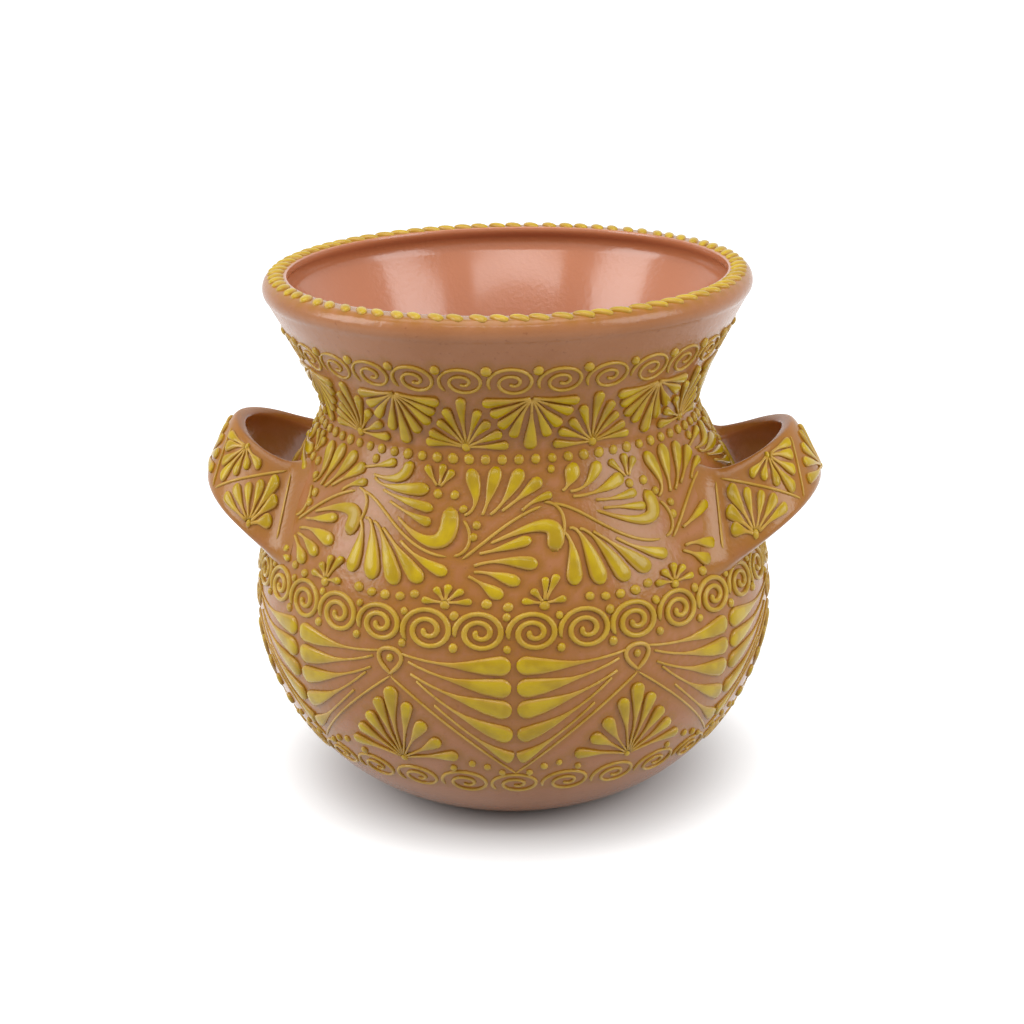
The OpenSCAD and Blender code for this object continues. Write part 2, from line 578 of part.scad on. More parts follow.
body();
rim_rope();
handle_right();
handle_left();
neck_spirals();
neck_dots();
neck_hanging_fans();
neck_standing_fans();
neck_fan_dots();
collar_dots();
shoulder_plumes();
shoulder_stems();
shoulder_buds();
shoulder_dots();
belly_spirals();
belly_dots();
belly_lattice();
belly_feathers();
belly_fans();
base_spirals();
base_dots();
handle_right_trim();
handle_left_trim();
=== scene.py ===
"""Dresses the flower pot: thrown body, strap handles, rope edging and slip-trailed ornament.

Lengths are in millimetres until a point is placed, and angles are in degrees. Turn 0 is the front of the
pot, and turns grow towards the right handle.
"""

import logging
import math
from bisect import bisect_right
from dataclasses import dataclass, field
from enum import Enum
from random import Random
from typing import Callable, ClassVar, Sequence

import bmesh
import bpy
from mathutils import Matrix, Vector, kdtree, noise
from mathutils.geometry import interpolate_bezier


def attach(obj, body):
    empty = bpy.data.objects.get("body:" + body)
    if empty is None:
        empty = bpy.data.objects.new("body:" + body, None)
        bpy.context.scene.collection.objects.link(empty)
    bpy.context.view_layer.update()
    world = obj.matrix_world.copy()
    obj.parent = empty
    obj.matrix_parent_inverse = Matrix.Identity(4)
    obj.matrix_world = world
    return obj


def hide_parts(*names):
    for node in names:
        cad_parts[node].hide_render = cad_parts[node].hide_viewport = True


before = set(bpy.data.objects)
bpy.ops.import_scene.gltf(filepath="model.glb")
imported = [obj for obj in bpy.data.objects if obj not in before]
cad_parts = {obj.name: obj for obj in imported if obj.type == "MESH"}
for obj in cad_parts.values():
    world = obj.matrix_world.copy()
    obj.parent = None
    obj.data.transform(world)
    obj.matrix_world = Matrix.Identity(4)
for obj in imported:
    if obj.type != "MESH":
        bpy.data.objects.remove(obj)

MM = 0.001
LOG = logging.getLogger("flower_pot")
Colour = tuple[float, float, float, float]
Spot = Sequence[float]
Place = Callable[[float, float, float], Vector]
# A petal: tail, a point that it passes, head, and width
Petal = tuple[Spot, Spot, Spot, float]
# The head of a petal in a fan: across, up and width
Head = tuple[float, float, float]


def srgb(red: int, green: int, blue: int) -> Colour:
    """Gives a linear colour for three values from 0 to 255."""
    def linear(value: int) -> float:
        """Gives one linear channel."""
        v = value / 255
        return v / 12.92 if v <= 0.04045 else ((v + 0.055) / 1.055) ** 2.4
    return linear(red), linear(green), linear(blue), 1.0


def smooth(low: float, high: float, x: float) -> float:
    """Eases from 0 at low to 1 at high."""
    t = min(max((x - low) / (high - low), 0.0), 1.0)
    return t * t * (3 - 2 * t)


def mix(a: float, b: float, t: float) -> float:
    """Gives the value at share t from a to b."""
    return a + (b - a) * t


def heading(angle: float) -> Vector:
    """Gives the direction at an angle clockwise from up."""
    return Vector((math.sin(math.radians(angle)), math.cos(math.radians(angle))))


def bow(a: Spot, b: Spot, c: Spot, t: float) -> Vector:
    """Gives a point of the curve that leaves a towards b and ends at c."""
    a, b, c = Vector(a), Vector(b), Vector(c)
    return (1 - t) ** 2 * a + 2 * (1 - t) * t * b + t * t * c


def paired(heads: Sequence[Head]) -> list[Head]:
    """Gives heads on one side of a middle line and again on the other side."""
    return [(side * x, y, wide) for x, y, wide in heads for side in (-1, 1)]


def flip(spot: Spot) -> tuple[float, float]:
    """Gives a point on the other side of the middle line."""
    return -spot[0], spot[1]


class Slot(Enum):
    """Material slots."""

    CLAY = "glazed_clay"
    TRAIL = "trailed_slip"
    YELLOW = "yellow_slip"


# A hanging and a standing fan of the neck, drawn in a cell of this width and height
NECK_CELL = (62, 28)
HANGING_ROOT = (0, 28.4)
HANGING_FAN: list[Head] = [(0, -1, 6.8), *paired((
    (8.2, 6, 5.6), (14.5, 11.5, 5.6), (18.6, 18.4, 5.4), (21.5, 25.4, 5.2)))]
STANDING_ROOT = (0, 0.5)
STANDING_FAN: list[Head] = [(0, 28.6, 5.0), *paired((
    (7.4, 22, 4.8), (12, 14.4, 4.8), (17.8, 8, 4.8), (20.6, 1.5, 4.6)))]
# The running plume, drawn in a cell of this width and height. Its upper row has two trailings, which
# take turns.
PLUME_CELL = (94, 62)
FALLING_UPPER: list[list[Petal]] = [
    [((-6, 57.2), (2, 59.4), (9.6, 62), 5.0), ((1.5, 51.2), (12, 49.8), (30.5, 51.4), 6.8),
     ((8.5, 47.2), (18, 45), (34, 42.2), 5.2), ((16, 41.4), (25.5, 38), (34, 35.6), 5.0)],
    [((1.6, 51.4), (4.8, 55.4), (8.6, 63.4), 7.8), ((7.6, 50.4), (14.8, 54.2), (21.2, 62.6), 6.4),
     ((9.6, 47.6), (20.6, 49.4), (32.6, 54), 6.8), ((19, 44.4), (27.5, 44.2), (37.4, 45.2), 5.0),
     ((22, 40.2), (30.5, 39.2), (40, 37.6), 4.8)]]
FALLING_LOWER: list[Petal] = [
    ((-0.8, 31), (1.4, 22.6), (0.2, 7), 7.2), ((3.2, 33), (7.6, 24.8), (11.4, 5.8), 7.8),
    ((8.2, 31.4), (14.8, 22.6), (22.6, 5.4), 7.8), ((14.6, 27.8), (23.2, 19.4), (33.4, 8), 7.6),
    ((24.4, 23.4), (33, 18), (43.8, 13.2), 6.2)]
RISING_UPPER: list[Petal] = [
    ((51.6, 42), (53.6, 49.6), (49.8, 62.2), 7.8), ((57.8, 42.6), (60.2, 50.6), (63.4, 63.6), 7.8),
    ((63.2, 43.2), (69.2, 51), (75.4, 62.2), 7.4), ((69, 45), (76.6, 50.8), (84.8, 57.2), 6.4),
    ((76.6, 44.2), (82, 47.4), (89.4, 49.6), 4.4)]
RISING_LOWER: list[Petal] = [
    ((58.4, 23.4), (66, 25.6), (78.4, 29.6), 5.2), ((58, 18.6), (68, 19.6), (80.4, 17.6), 7.0),
    ((57, 14.6), (64, 13.2), (73, 9.4), 6.4), ((54.6, 11.4), (60, 7.8), (66, 3), 6.8)]
# Commas: four points of their curve and a width
HOOKS = [
    [((-3.5, 54.2), (10, 52), (19.5, 54.4), (17, 63.8), 6.2),
     ((16.5, 37.6), (30, 25.6), (47, 19.4), (41.8, 45.2), 8.8)],
    [((14, 40.4), (30, 32), (49.6, 23.8), (42.2, 46), 7.2)]]
RISING_COMMA = ((60, 27.2), (75, 35), (96, 42.5), (86.6, 22.6), 7.8)
STEMS = (
    ((-7.6, 45.2), (9, 46.4), (22, 20.6), (44, 20.8)),
    ((45.4, 21.2), (53.4, 22.6), (54, 33), (48.4, 38.4)),
    ((48.8, 19.4), (60.5, 30.2), (70, 40.4), (84.6, 44.6)),
    ((84.5, 46.3), (95, 46), (96, 34), (88.2, 22.5)))
BUDS: list[tuple[Spot, list[Head]]] = [
    ((35.2, 52), [(26.8, 62, 4.2), (36.2, 63.8, 4.4), (42, 61.2, 4.2)]),
    ((43.8, 0), [(34.8, 1, 3.6), (39.4, 6.6, 3.6), (44.8, 8.4, 3.6), (50.4, 6.4, 3.6), (54.4, 1, 3.6)]),
    ((82, 0), [(73.4, 1.4, 3.6), (77.2, 7, 3.6), (82.6, 12.2, 3.4), (88.4, 13, 3.6), (90.8, 2, 3.6)])]
SHOULDER_SPOTS = (
    (43.6, 49.6), (48.3, 43.2), (54.8, 36), (53.6, 30.4), (90.2, 61.4), (60, 0.2), (68.2, -1.2), (6, 1.4),
    (12.4, 0.4), (18.6, 0.4), (25.2, 0.8), (31.2, 2.6), (35.2, 49.6), (43.8, -1), (82, -1))
# The panel of the lower belly, drawn in a cell of this width
PANEL_W = 115
FEATHERS: list[Petal] = [
    ((10, 11.4), (32, 9.4), (56.4, 10.2), 9.6), ((13, 7.4), (33, 1.8), (56.4, -1), 9.4),
    ((14, 1.4), (33.4, -6.4), (56.4, -12.4), 9.4), ((17, -3.2), (36, -16.8), (56.4, -26.4), 9.0),
    ((26, -15.6), (44.6, -32), (56.4, -40), 7.6)]
PANEL_SPOTS = ((36, -44.4), (43.4, -46.4), (50.6, -50.4), (26, -48.6))
PANEL_MIDDLE_SPOTS = ((0, -45.6), (0, 9.6))
PANEL_LEG = ((-1, 1.5), (27, -19), (59.6, -53))
PANEL_LOOP = ((-2.4, 0.4), (24, 18.6), (-24, 18.6), (2.4, 0.4))
PANEL_ROOT = (0, -45)
PANEL_FAN: list[Head] = [(0, -4.5, 7.4), *paired((
    (7.6, -11.6, 6.2), (14.6, -20.4, 7.0), (21.8, -30, 6.8), (29.2, -39.4, 6.0)))]
# The strap's outer face, in degrees of the loop and millimetres across it
APEX_ROOT = (0, -12)
APEX_FAN: list[Head] = [(0, 12, 5.8), *paired((
    (9.6, 10.2, 5.6), (17.6, 5.6, 5.6), (24.4, -0.8, 5.4), (28, -8, 5.0)))]
TRIM_FANS: list[tuple[Spot, list[Head]]] = [
    ((50, 12.4), [(65.5, 8.8, 5.0), (57.6, 4.4, 5.4), (49.6, -1, 5.4), (40.2, -7, 6.2),
                  (34.8, -0.8, 5.4), (30.8, 5.6, 5.4), (28.2, 10.8, 4.8)]),
    ((70, -12.4), [(78.4, 9.4, 6.8), (69.4, 5.7, 5.6), (61, 1.5, 5.6), (53.2, -3.2, 5.6),
                   (48.6, -9.8, 5.2), (81.8, 1.8, 6.2), (82.4, -6.2, 6.0)])]
TRIM_LINES = (
    ((24, 13.4), (30.6, 1), (36, -13.4)),
    ((37, -13), (56, 3.4), (84, 13.4)),
    ((85, 13), (86.2, 0), (87.4, -13)))


@dataclass
class Wall:
    """Outside of the thrown wall, from the foot to the crease under the lip."""

    foot_r: float = 61.0
    foot_slope: float = 18.0
    foot_pull: float = 42.0
    belly_r: float = 128.5
    belly_z: float = 96.0
    belly_pull_low: float = 42.0
    belly_pull_high: float = 46.0
    neck_r: float = 91.5
    neck_z: float = 195.5
    neck_pull_low: float = 14.0
    neck_pull_high: float = 9.0
    crease_r: float = 115.9
    crease_z: float = 249.0
    flare_slope: float = 62.0
    flare_pull: float = 20.0
    foot_steps: int = 72
    shoulder_steps: int = 64
    flare_steps: int = 36
    points: list[Vector] = field(default_factory=list)
    along: list[float] = field(default_factory=list)
    lean: list[float] = field(default_factory=list)

    def __post_init__(self) -> None:
        """Samples the three curves of the wall."""
        foot = Vector((self.foot_r, 0))
        belly = Vector((self.belly_r, self.belly_z))
        neck = Vector((self.neck_r, self.neck_z))
        crease = Vector((self.crease_r, self.crease_z))
        out = heading(90 - self.foot_slope) * self.foot_pull
        flare = heading(90 - self.flare_slope) * self.flare_pull
        up = Vector((0, 1))
        spans = (
            (foot, foot + out, belly - up * self.belly_pull_low, belly, self.foot_steps),
            (belly, belly + up * self.belly_pull_high, neck - up * self.neck_pull_low, neck,
             self.shoulder_steps),
            (neck, neck + up * self.neck_pull_high, crease - flare, crease, self.flare_steps))
        for *knots, steps in spans:
            self.points += interpolate_bezier(*knots, steps + 1)[:-1]
        self.points.append(crease)
        self.along = [0.0]
        for a, b in zip(self.points, self.points[1:]):
            self.along.append(self.along[-1] + (b - a).length)
        last = len(self.points) - 1
        for i in range(last + 1):
            d = self.points[min(i + 1, last)] - self.points[max(i - 1, 0)]
            self.lean.append(math.atan2(-d.x, d.y))

    @property
    def belly_s(self) -> float:
        """Distance along the wall of the widest ring."""
        return self.along[self.foot_steps]

    @property
    def neck_s(self) -> float:
        """Distance along the wall of the narrowest ring."""
        return self.along[self.foot_steps + self.shoulder_steps]

    @property
    def crease_s(self) -> float:
        """Distance along the wall of the crease under the lip."""
        return self.along[-1]

    def ring(self, s: float) -> tuple[float, float, float]:
        """Gives radius, height and lean of the wall.

        Args:
            s: Distance along the wall.

        Returns:
            Radius, height, and lean of the outward normal in radians.
        """
        i = min(max(bisect_right(self.along, s) - 1, 0), len(self.along) - 2)
        t = (s - self.along[i]) / (self.along[i + 1] - self.along[i])
        p = self.points[i].lerp(self.points[i + 1], t)
        return p.x, p.y, mix(self.lean[i], self.lean[i + 1], t)

    def radius_at(self, z: float) -> float:
        """Gives the outside radius at a height."""
        for a, b in zip(self.points, self.points[1:]):
            if a.y <= z <= b.y:
                return mix(a.x, b.x, (z - a.y) / (b.y - a.y))
        return self.points[-1].x

    def at(self, turn: float, s: float, h: float) -> Vector:
        """Places a point on the wall.

        Args:
            turn: Turn from the front.
            s: Distance along the wall.
            h: Height above the wall.

        Returns:
            The point in metres.
        """
        r, z, lean = self.ring(s)
        out = r + h * math.cos(lean)
        a = math.radians(turn)
        return Vector((out * math.sin(a), -out * math.cos(a), z + h * math.sin(lean))) * MM

    def cell(self, turn: float, s: float, across: float = 0.0, up: float = 1.0) -> Place:
        """Gives a place to draw in millimetres.

        Args:
            turn: Turn of the drawing's origin.
            s: Distance along the wall of its origin.
            across: Turn for each millimetre, or 0 for true size.
            up: Stretch along the wall.

        Returns:
            A function of across, up and height.
        """
        per_mm = across or math.degrees(1 / self.ring(s)[0])
        return lambda x, y, h: self.at(turn + x * per_mm, s + y * up, h)


WALL = Wall()


@dataclass
class Root:
    """The patch of the wall that a strap handle is luted to, kept clear of slip."""

    low_z: float = 132.0
    high_z: float = 167.0
    low_spread: float = 30.0
    high_spread: float = 21.0
    strap_t: float = 8.5
    cover: float = 1.4
    clear: float = 1.5
    smear: float = 3.5

    def covers(self, p: Vector) -> bool:
        """Says whether a point of the wall lies on or beside the root of a handle."""
        z = p.z / MM
        if not self.low_z - self.clear < z < self.high_z + self.clear:
            return False
        off = abs(abs(math.degrees(math.atan2(p.x, -p.y))) - 90)
        up = (z - self.low_z) / (self.high_z - self.low_z)
        inward = math.radians(mix(self.low_spread, self.high_spread, up) - off) * WALL.belly_r
        return -self.smear <= inward <= self.cover * self.strap_t + self.clear


ROOT = Root()


class Spine:
    """Remembers where slip lies, so that the glaze can pool beside it."""

    points: list[tuple[Vector, float]] = []
    nearest: int = 4
    falloff: float = 1.4

    @classmethod
    def add(cls, point: Vector, half_width: float) -> None:
        """Notes a point in metres and the stroke's half width in millimetres."""
        cls.points.append((point, half_width * MM))

    @classmethod
    def tree(cls) -> kdtree.KDTree:
        """Gives a search tree over all strokes."""
        tree = kdtree.KDTree(len(cls.points))
        for i, (point, _) in enumerate(cls.points):
            tree.insert(point, i)
        tree.balance()
        return tree

    @classmethod
    def pool(cls, tree: kdtree.KDTree, p: Vector, reach: float) -> float:
        """Says how deep the glaze pools at a point.

        Args:
            tree: Search tree over all strokes.
            p: A point in metres.
            reach: Distance from a stroke at which the pool ends.

        Returns:
            1 against a stroke, falling to 0 at the reach.
        """
        gap = min(d - cls.points[i][1] for _, i, d in tree.find_n(p, cls.nearest))
        return (1 - min(max(gap / MM / reach, 0.0), 1.0)) ** cls.falloff


@dataclass
class Stroke:
    """One stroke of slip: its path, and its width, height and share of yellow at each point."""

    place: Place
    path: list[Vector]
    wide: list[float]
    rise: list[float]
    yellow: list[float]
    crown: float = 0.9
    sunk: float = 0.5
    least_lift: float = 1e-4
    side: list[Vector] = field(default_factory=list)

    def __post_init__(self) -> None:
        """Finds the way across the stroke at each point."""
        last = len(self.path) - 1
        for i in range(last + 1):
            d = (self.path[min(i + 1, last)] - self.path[max(i - 1, 0)]).normalized()
            self.side.append(Vector((d.y, -d.x)))

    def at(self, i: int, over: float, lift: float) -> Vector:
        """Places a point of the stroke's skin.

        Args:
            i: Number of the path's point.
            over: Place across the stroke, from -1 to 1.
            lift: Share of the height before the crown is flattened.

        Returns:
            The point in metres.
        """
        p = self.path[i] + self.side[i] * (self.wide[i] / 2 * over)
        h = self.rise[i] * lift ** self.crown if lift > self.least_lift else -self.sunk
        return self.place(p.x, p.y, h)

    def is_clear(self) -> bool:
        """Says whether the stroke stays off the roots of the handles."""
        ends = [self.at(i, over, 0) for i in range(len(self.path)) for over in (-1, 1)]
        return not any(ROOT.covers(p) for p in ends)


@dataclass
class SlipMesh:
    """One band of slip, laid stroke by stroke into one mesh."""

    width_hand: ClassVar[float] = 0.06
    tail_w: ClassVar[float] = 1.5
    tail_lead: ClassVar[float] = 0.015
    tail_rings: ClassVar[int] = 7
    head_rings: ClassVar[int] = 5
    head_power: ClassVar[float] = 0.7
    round_share: ClassVar[float] = 0.46
    most_round: ClassVar[float] = 0.4
    petal_ease: ClassVar[float] = 0.55
    petal_yellow: ClassVar[tuple[float, float]] = (0.02, 0.3)
    petal_crown: ClassVar[float] = 0.46
    petal_sides: ClassVar[int] = 8
    fan_swing: ClassVar[float] = 0.5
    fan_bend: ClassVar[float] = 0.03
    line_sides: ClassVar[int] = 7
    line_taper: ClassVar[int] = 2
    curve_rings: ClassVar[int] = 24
    comma_rings: ClassVar[int] = 20
    comma_round: ClassVar[float] = 0.12
    comma_swell: ClassVar[tuple[float, float]] = (0.05, 0.75)
    comma_yellow: ClassVar[tuple[float, float]] = (0.1, 0.4)
    spiral_rings: ClassVar[int] = 52
    spiral_start: ClassVar[float] = 215.0
    spiral_swing: ClassVar[float] = 14.0
    spiral_hand: ClassVar[float] = 0.04
    spiral_ends: ClassVar[tuple[float, float]] = (1.05, 0.1)
    spiral_power: ClassVar[float] = 1.12
    dot_rings: ClassVar[int] = 6
    dot_hand: ClassVar[float] = 0.1
    dot_swing: ClassVar[float] = 40.0
    dot_long: ClassVar[float] = 1.06
    dot_yellow: ClassVar[float] = 0.6
    name: str
    seed: int
    line_rise: float = 1.0
    petal_rise: float = 1.8
    keeps_clear: bool = True
    strokes: dict[tuple[int, int], list[Stroke]] = field(default_factory=dict)

    def __post_init__(self) -> None:
        """Starts the hand's own variation."""
        self.random = Random(self.seed)

    def swing(self, most: float) -> float:
        """Gives a value near 0, as a hand strays."""
        return self.random.uniform(-most, most)

    def vary(self, share: float) -> float:
        """Gives a factor near 1, as a hand varies."""
        return 1 + self.swing(share)

    def lay(self, stroke: Stroke, sides: int) -> None:
        """Keeps a stroke for the mesh, unless it would run onto the root of a handle."""
        if self.keeps_clear and not stroke.is_clear():
            return
        for p, wide in zip(stroke.path, stroke.wide):
            Spine.add(stroke.place(p.x, p.y, 0), wide / 2)
        self.strokes.setdefault((len(stroke.path) - 1, sides), []).append(stroke)

    def line(self, place: Place, path: Sequence[Vector], wide: float, rise: float,
             yellow: float = 0.0) -> None:
        """Lays a line of even width with rounded ends."""
        n = len(path) - 1
        ends = [min(1.0, math.sqrt(min(i, n - i) / self.line_taper)) for i in range(n + 1)]
        self.lay(Stroke(place, list(path), [wide * e for e in ends], [rise * e for e in ends],
                        [yellow] * (n + 1)), self.line_sides)

    def curve(self, place: Place, knots: Sequence[Spot], wide: float, rise: float) -> None:
        """Lays a line along one Bezier curve."""
        path = interpolate_bezier(*[Vector(k) for k in knots], self.curve_rings + 1)
        self.line(place, path, wide, rise)

    def drop(self, place: Place, petal: Petal, thin: float = tail_w, swell: float = 0.25,
             longer: float = 0.06) -> None:
        """Lays a petal: a thin tail that swells to a round head.

        Args:
            place: Where the drawing lies.
            petal: Its tail, a point that it passes, its head and its width.
            thin: Width of the tail.
            swell: Share of the length where the tail begins to swell.
            longer: Share of the length that the tail runs on behind its start.
        """
        tail, through, head = (Vector(p) for p in petal[:3])
        bend = 2 * through - (tail + head) / 2
        wide = petal[3] * self.vary(self.width_hand)
        length = (through - tail).length + (head - through).length
        cap = min(self.most_round, self.round_share * wide / length)
        peak = 1 - cap
        steps = [-longer, self.tail_lead - longer]
        steps += [mix(-longer, peak, i / self.tail_rings) for i in range(1, self.tail_rings + 1)]
        steps += [peak + cap * math.sin(math.pi / 2 * i / self.head_rings)
                  for i in range(1, self.head_rings + 1)]
        wides, rises, yellow = [], [], []
        yellow_from, yellow_full = (swell + k for k in self.petal_yellow)
        for t in steps:
            k = min(max((t - swell) / (peak - swell), 0.0), 1.0)
            k = mix(k, smooth(0, 1, k), self.petal_ease)
            end = math.sqrt(max(0.0, 1 - (max(t - peak, 0) / cap) ** 2)) if t > -longer else 0.0
            wides.append(mix(min(thin, wide), wide, k) * end)
            rises.append(mix(self.line_rise, self.petal_rise, k) * end ** self.head_power)
            yellow.append(smooth(yellow_from, yellow_full, t))
        path = [bow(tail, bend, head, t) for t in steps]
        self.lay(Stroke(place, path, wides, rises, yellow, self.petal_crown), self.petal_sides)

    def fan(self, place: Place, root: Spot, heads: Sequence[Head], start: float = 0.16, thin: float = 1.4,
            swell: float = 0.25) -> None:
        """Lays petals from a root to each of the heads.

        Args:
            place: Where the drawing lies.
            root: Foot of the fan.
            heads: Ends of the petals, with their widths.
            start: Share of the way from the root where the tails begin.
            thin: Width of the tails.
            swell: Share of a petal where it begins to swell.
        """
        foot = Vector(root)
        for x, y, wide in heads:
            end = Vector((x, y)) + Vector((self.swing(self.fan_swing), self.swing(self.fan_swing)))
            tail = foot.lerp(end, start)
            across = Vector((tail.y - end.y, end.x - tail.x)) * self.swing(self.fan_bend)
            self.drop(place, (tail, (tail + end) / 2 + across, end, wide), thin, swell)

    def comma(self, place: Place, knots: Sequence[Spot], wide: float) -> None:
        """Lays a comma: a curling petal with a blunt end."""
        rings, blunt = self.comma_rings, self.comma_round
        path = interpolate_bezier(*[Vector(k) for k in knots], rings + 1)
        swell = [smooth(*self.comma_swell, i / rings) for i in range(rings + 1)]
        ends = [math.sqrt(max(0.0, 1 - (max(i / rings - 1 + blunt, 0) / blunt) ** 2)) * min(1.0, i)
                for i in range(rings + 1)]
        wides = [mix(self.tail_w, wide, k) * e for k, e in zip(swell, ends)]
        rises = [mix(self.line_rise, self.petal_rise, k) * e for k, e in zip(swell, ends)]
        yellow = [smooth(*self.comma_yellow, k) for k in swell]
        self.lay(Stroke(place, path, wides, rises, yellow, self.petal_crown), self.petal_sides)

    def spiral(self, place: Place, radius: float, turns: float, line: Sequence[float],
               yellow: float = 0.2) -> None:
        """Lays a spiral that starts at its lower left and winds inwards, clockwise.

        Args:
            place: Where the drawing lies.
            radius: Its outer radius.
            turns: How often it winds.
            line: Width and height of its line.
            yellow: Share of yellow in the line.
        """
        wide, rise = line
        rings = self.spiral_rings
        start = self.spiral_start + self.swing(self.spiral_swing)
        size = radius * self.vary(self.spiral_hand)
        squash = self.vary(self.spiral_hand)
        path = []
        for i in range(rings + 1):
            t = i / rings
            r = size * mix(*self.spiral_ends, t ** self.spiral_power)
            d = heading(90 - start + 360 * turns * t) * r
            path.append(Vector((d.x, d.y * squash)))
        self.line(place, path, wide * self.vary(self.width_hand), rise, yellow)

    def dot(self, place: Place, x: float, y: float, wide: float, rise: float) -> None:
        """Sets a rounded dot, a little longer than wide."""
        half = wide / 2 * self.vary(self.dot_hand)
        tilt = heading(self.swing(self.dot_swing)) * half * self.dot_long
        steps = [-math.cos(math.pi * i / self.dot_rings) for i in range(self.dot_rings + 1)]
        shares = [math.sqrt(max(0.0, 1 - t * t)) for t in steps]
        self.lay(Stroke(place, [Vector((x, y)) + tilt * t for t in steps], [2 * half * k for k in shares],
                        [rise * k for k in shares], [self.dot_yellow] * len(steps)), self.petal_sides)

    def mould(self, bm: bmesh.types.BMesh, rings: int, sides: int, strokes: Sequence[Stroke]) -> None:
        """Makes one blank, copies it for each stroke of a kind, and shapes the copies.

        Args:
            bm: Shape to add to.
            rings: Steps along a stroke.
            sides: Points across a stroke.
            strokes: All strokes with these counts.
        """
        number = bm.verts.layers.int["number"]
        ring = bm.verts.layers.int["ring"]
        over = bm.verts.layers.float["over"]
        crest = bm.verts.layers.float["crest"]
        yellow = bm.verts.layers.float["head"]
        verts = bmesh.ops.create_uvsphere(bm, u_segments=sides, v_segments=rings, radius=1.0)["verts"]
        for v in verts:
            v[ring] = round(math.acos(min(max(v.co.z, -1.0), 1.0)) / math.pi * rings)
            if 0 < v[ring] < rings:
                step = round(math.atan2(v.co.y, v.co.x) / (2 * math.pi) * sides) % sides
                turn = math.pi * step / (sides - 1)
                v[over], v[crest] = math.cos(turn), math.sin(turn)
        edges = {e for v in verts for e in v.link_edges}
        faces = {f for v in verts for f in v.link_faces}
        geom = [*verts, *edges, *faces]
        made = 1
        while made < len(strokes):
            more = min(made, len(strokes) - made)
            part = [g for g in geom
                    if (g if isinstance(g, bmesh.types.BMVert) else g.verts[0])[number] < more]
            copy = bmesh.ops.duplicate(bm, geom=part)["geom"]
            for v in (g for g in copy if isinstance(g, bmesh.types.BMVert)):
                v[number] += made
            geom += copy
            made += more
        for v in (g for g in geom if isinstance(g, bmesh.types.BMVert)):
            stroke = strokes[v[number]]
            v.co = stroke.at(v[ring], v[over], v[crest])
            v[yellow] = stroke.yellow[v[ring]]

    def finish(self, slot: Slot, look: bpy.types.Material, *nodes: str) -> bpy.types.Object:
        """Turns the strokes into a piece that stands for CAD nodes.

        Args:
            slot: Material slot of the piece.
            look: Its material.
            *nodes: The nodes that it replaces.

        Returns:
            The piece.
        """
        bm = bmesh.new()
        for name in ("number", "ring"):
            bm.verts.layers.int.new(name)
        for name in ("over", "crest", "head"):
            bm.verts.layers.float.new(name)
        for (rings, sides), strokes in self.strokes.items():
            self.mould(bm, rings, sides, strokes)
        for name in ("number", "ring"):
            bm.verts.layers.int.remove(bm.verts.layers.int[name])
        bm.verts.layers.float.remove(bm.verts.layers.float["over"])
        return dress(self.name, bm, slot, look, *nodes)


def dress(name: str, bm: bmesh.types.BMesh, slot: Slot, look: bpy.types.Material,
          *nodes: str) -> bpy.types.Object:
    """Makes a smooth-shaded piece of a finished bmesh, on the pot's one body.

    Args:
        name: Name of the piece.
        bm: Its shape, in metres. It is freed.
        slot: Material slot meant for the piece; not used.
        look: Its material.
        *nodes: The CAD nodes that it stands for.

    Returns:
        The piece.
    """
    bmesh.ops.recalc_face_normals(bm, faces=bm.faces)
    for f in bm.faces:
        f.smooth = True
    mesh = bpy.data.meshes.new(name)
    bm.to_mesh(mesh)
    bm.free()
    mesh.materials.append(look)
    piece = bpy.data.objects.new(name, mesh)
    bpy.context.scene.collection.objects.link(piece)
    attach(piece, "root")
    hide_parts(*nodes)
    LOG.info("%s: %d faces", name, len(mesh.polygons))
    return piece


def fill(node: bpy.types.Node, values: dict[str, float | Colour]) -> bpy.types.Node:
    """Sets input sockets of a node by their names, and gives the node."""
    for key, value in values.items():
        node.inputs[key].default_value = value
    return node


class NodeTree:
    """Small helper that adds and joins shader nodes."""

    def __init__(self, tree: bpy.types.NodeTree) -> None:
        """Takes a tree to add to."""
        self.tree = tree

    def add(self, kind: str, **values) -> bpy.types.Node:
        """Adds a node and sets its properties."""
        node = self.tree.nodes.new(kind)
        for key, value in values.items():
            setattr(node, key, value)
        return node

    def join(self, out: bpy.types.NodeSocket, to: bpy.types.NodeSocket) -> None:
        """Joins two sockets."""
        self.tree.links.new(out, to)

    def noise(self, values: dict[str, float]) -> bpy.types.Node:
        """Adds noise that lies in the piece's own coordinates."""
        node = fill(self.add("ShaderNodeTexNoise"), values)
        self.join(self.add("ShaderNodeTexCoord").outputs["Object"], node.inputs["Vector"])
        return node

    def attribute(self, name: str) -> bpy.types.NodeSocket:
        """Gives the value of a vertex attribute."""
        node = self.add("ShaderNodeAttribute", attribute_type="GEOMETRY", attribute_name=name)
        return node.outputs["Fac"]

    def blend(self, factor: bpy.types.NodeSocket, a, b) -> bpy.types.NodeSocket:
        """Mixes two colours, each a value or a socket."""
        node = self.add("ShaderNodeMix", data_type="RGBA")
        self.join(factor, node.inputs[0])
        for value, socket in ((a, node.inputs[6]), (b, node.inputs[7])):
            if isinstance(value, bpy.types.NodeSocket):
                self.join(value, socket)
            else:
                socket.default_value = value
        return node.outputs[2]

    def span(self, value: bpy.types.NodeSocket, low: float, high: float, to_low: float = 0.0,
             to_high: float = 1.0) -> bpy.types.NodeSocket:
        """Maps a range of a value smoothly to another range."""
        node = self.add("ShaderNodeMapRange", interpolation_type="SMOOTHSTEP")
        self.join(value, node.inputs["Value"])
        fill(node, {"From Min": low, "From Max": high, "To Min": to_low, "To Max": to_high})
        return node.outputs["Result"]


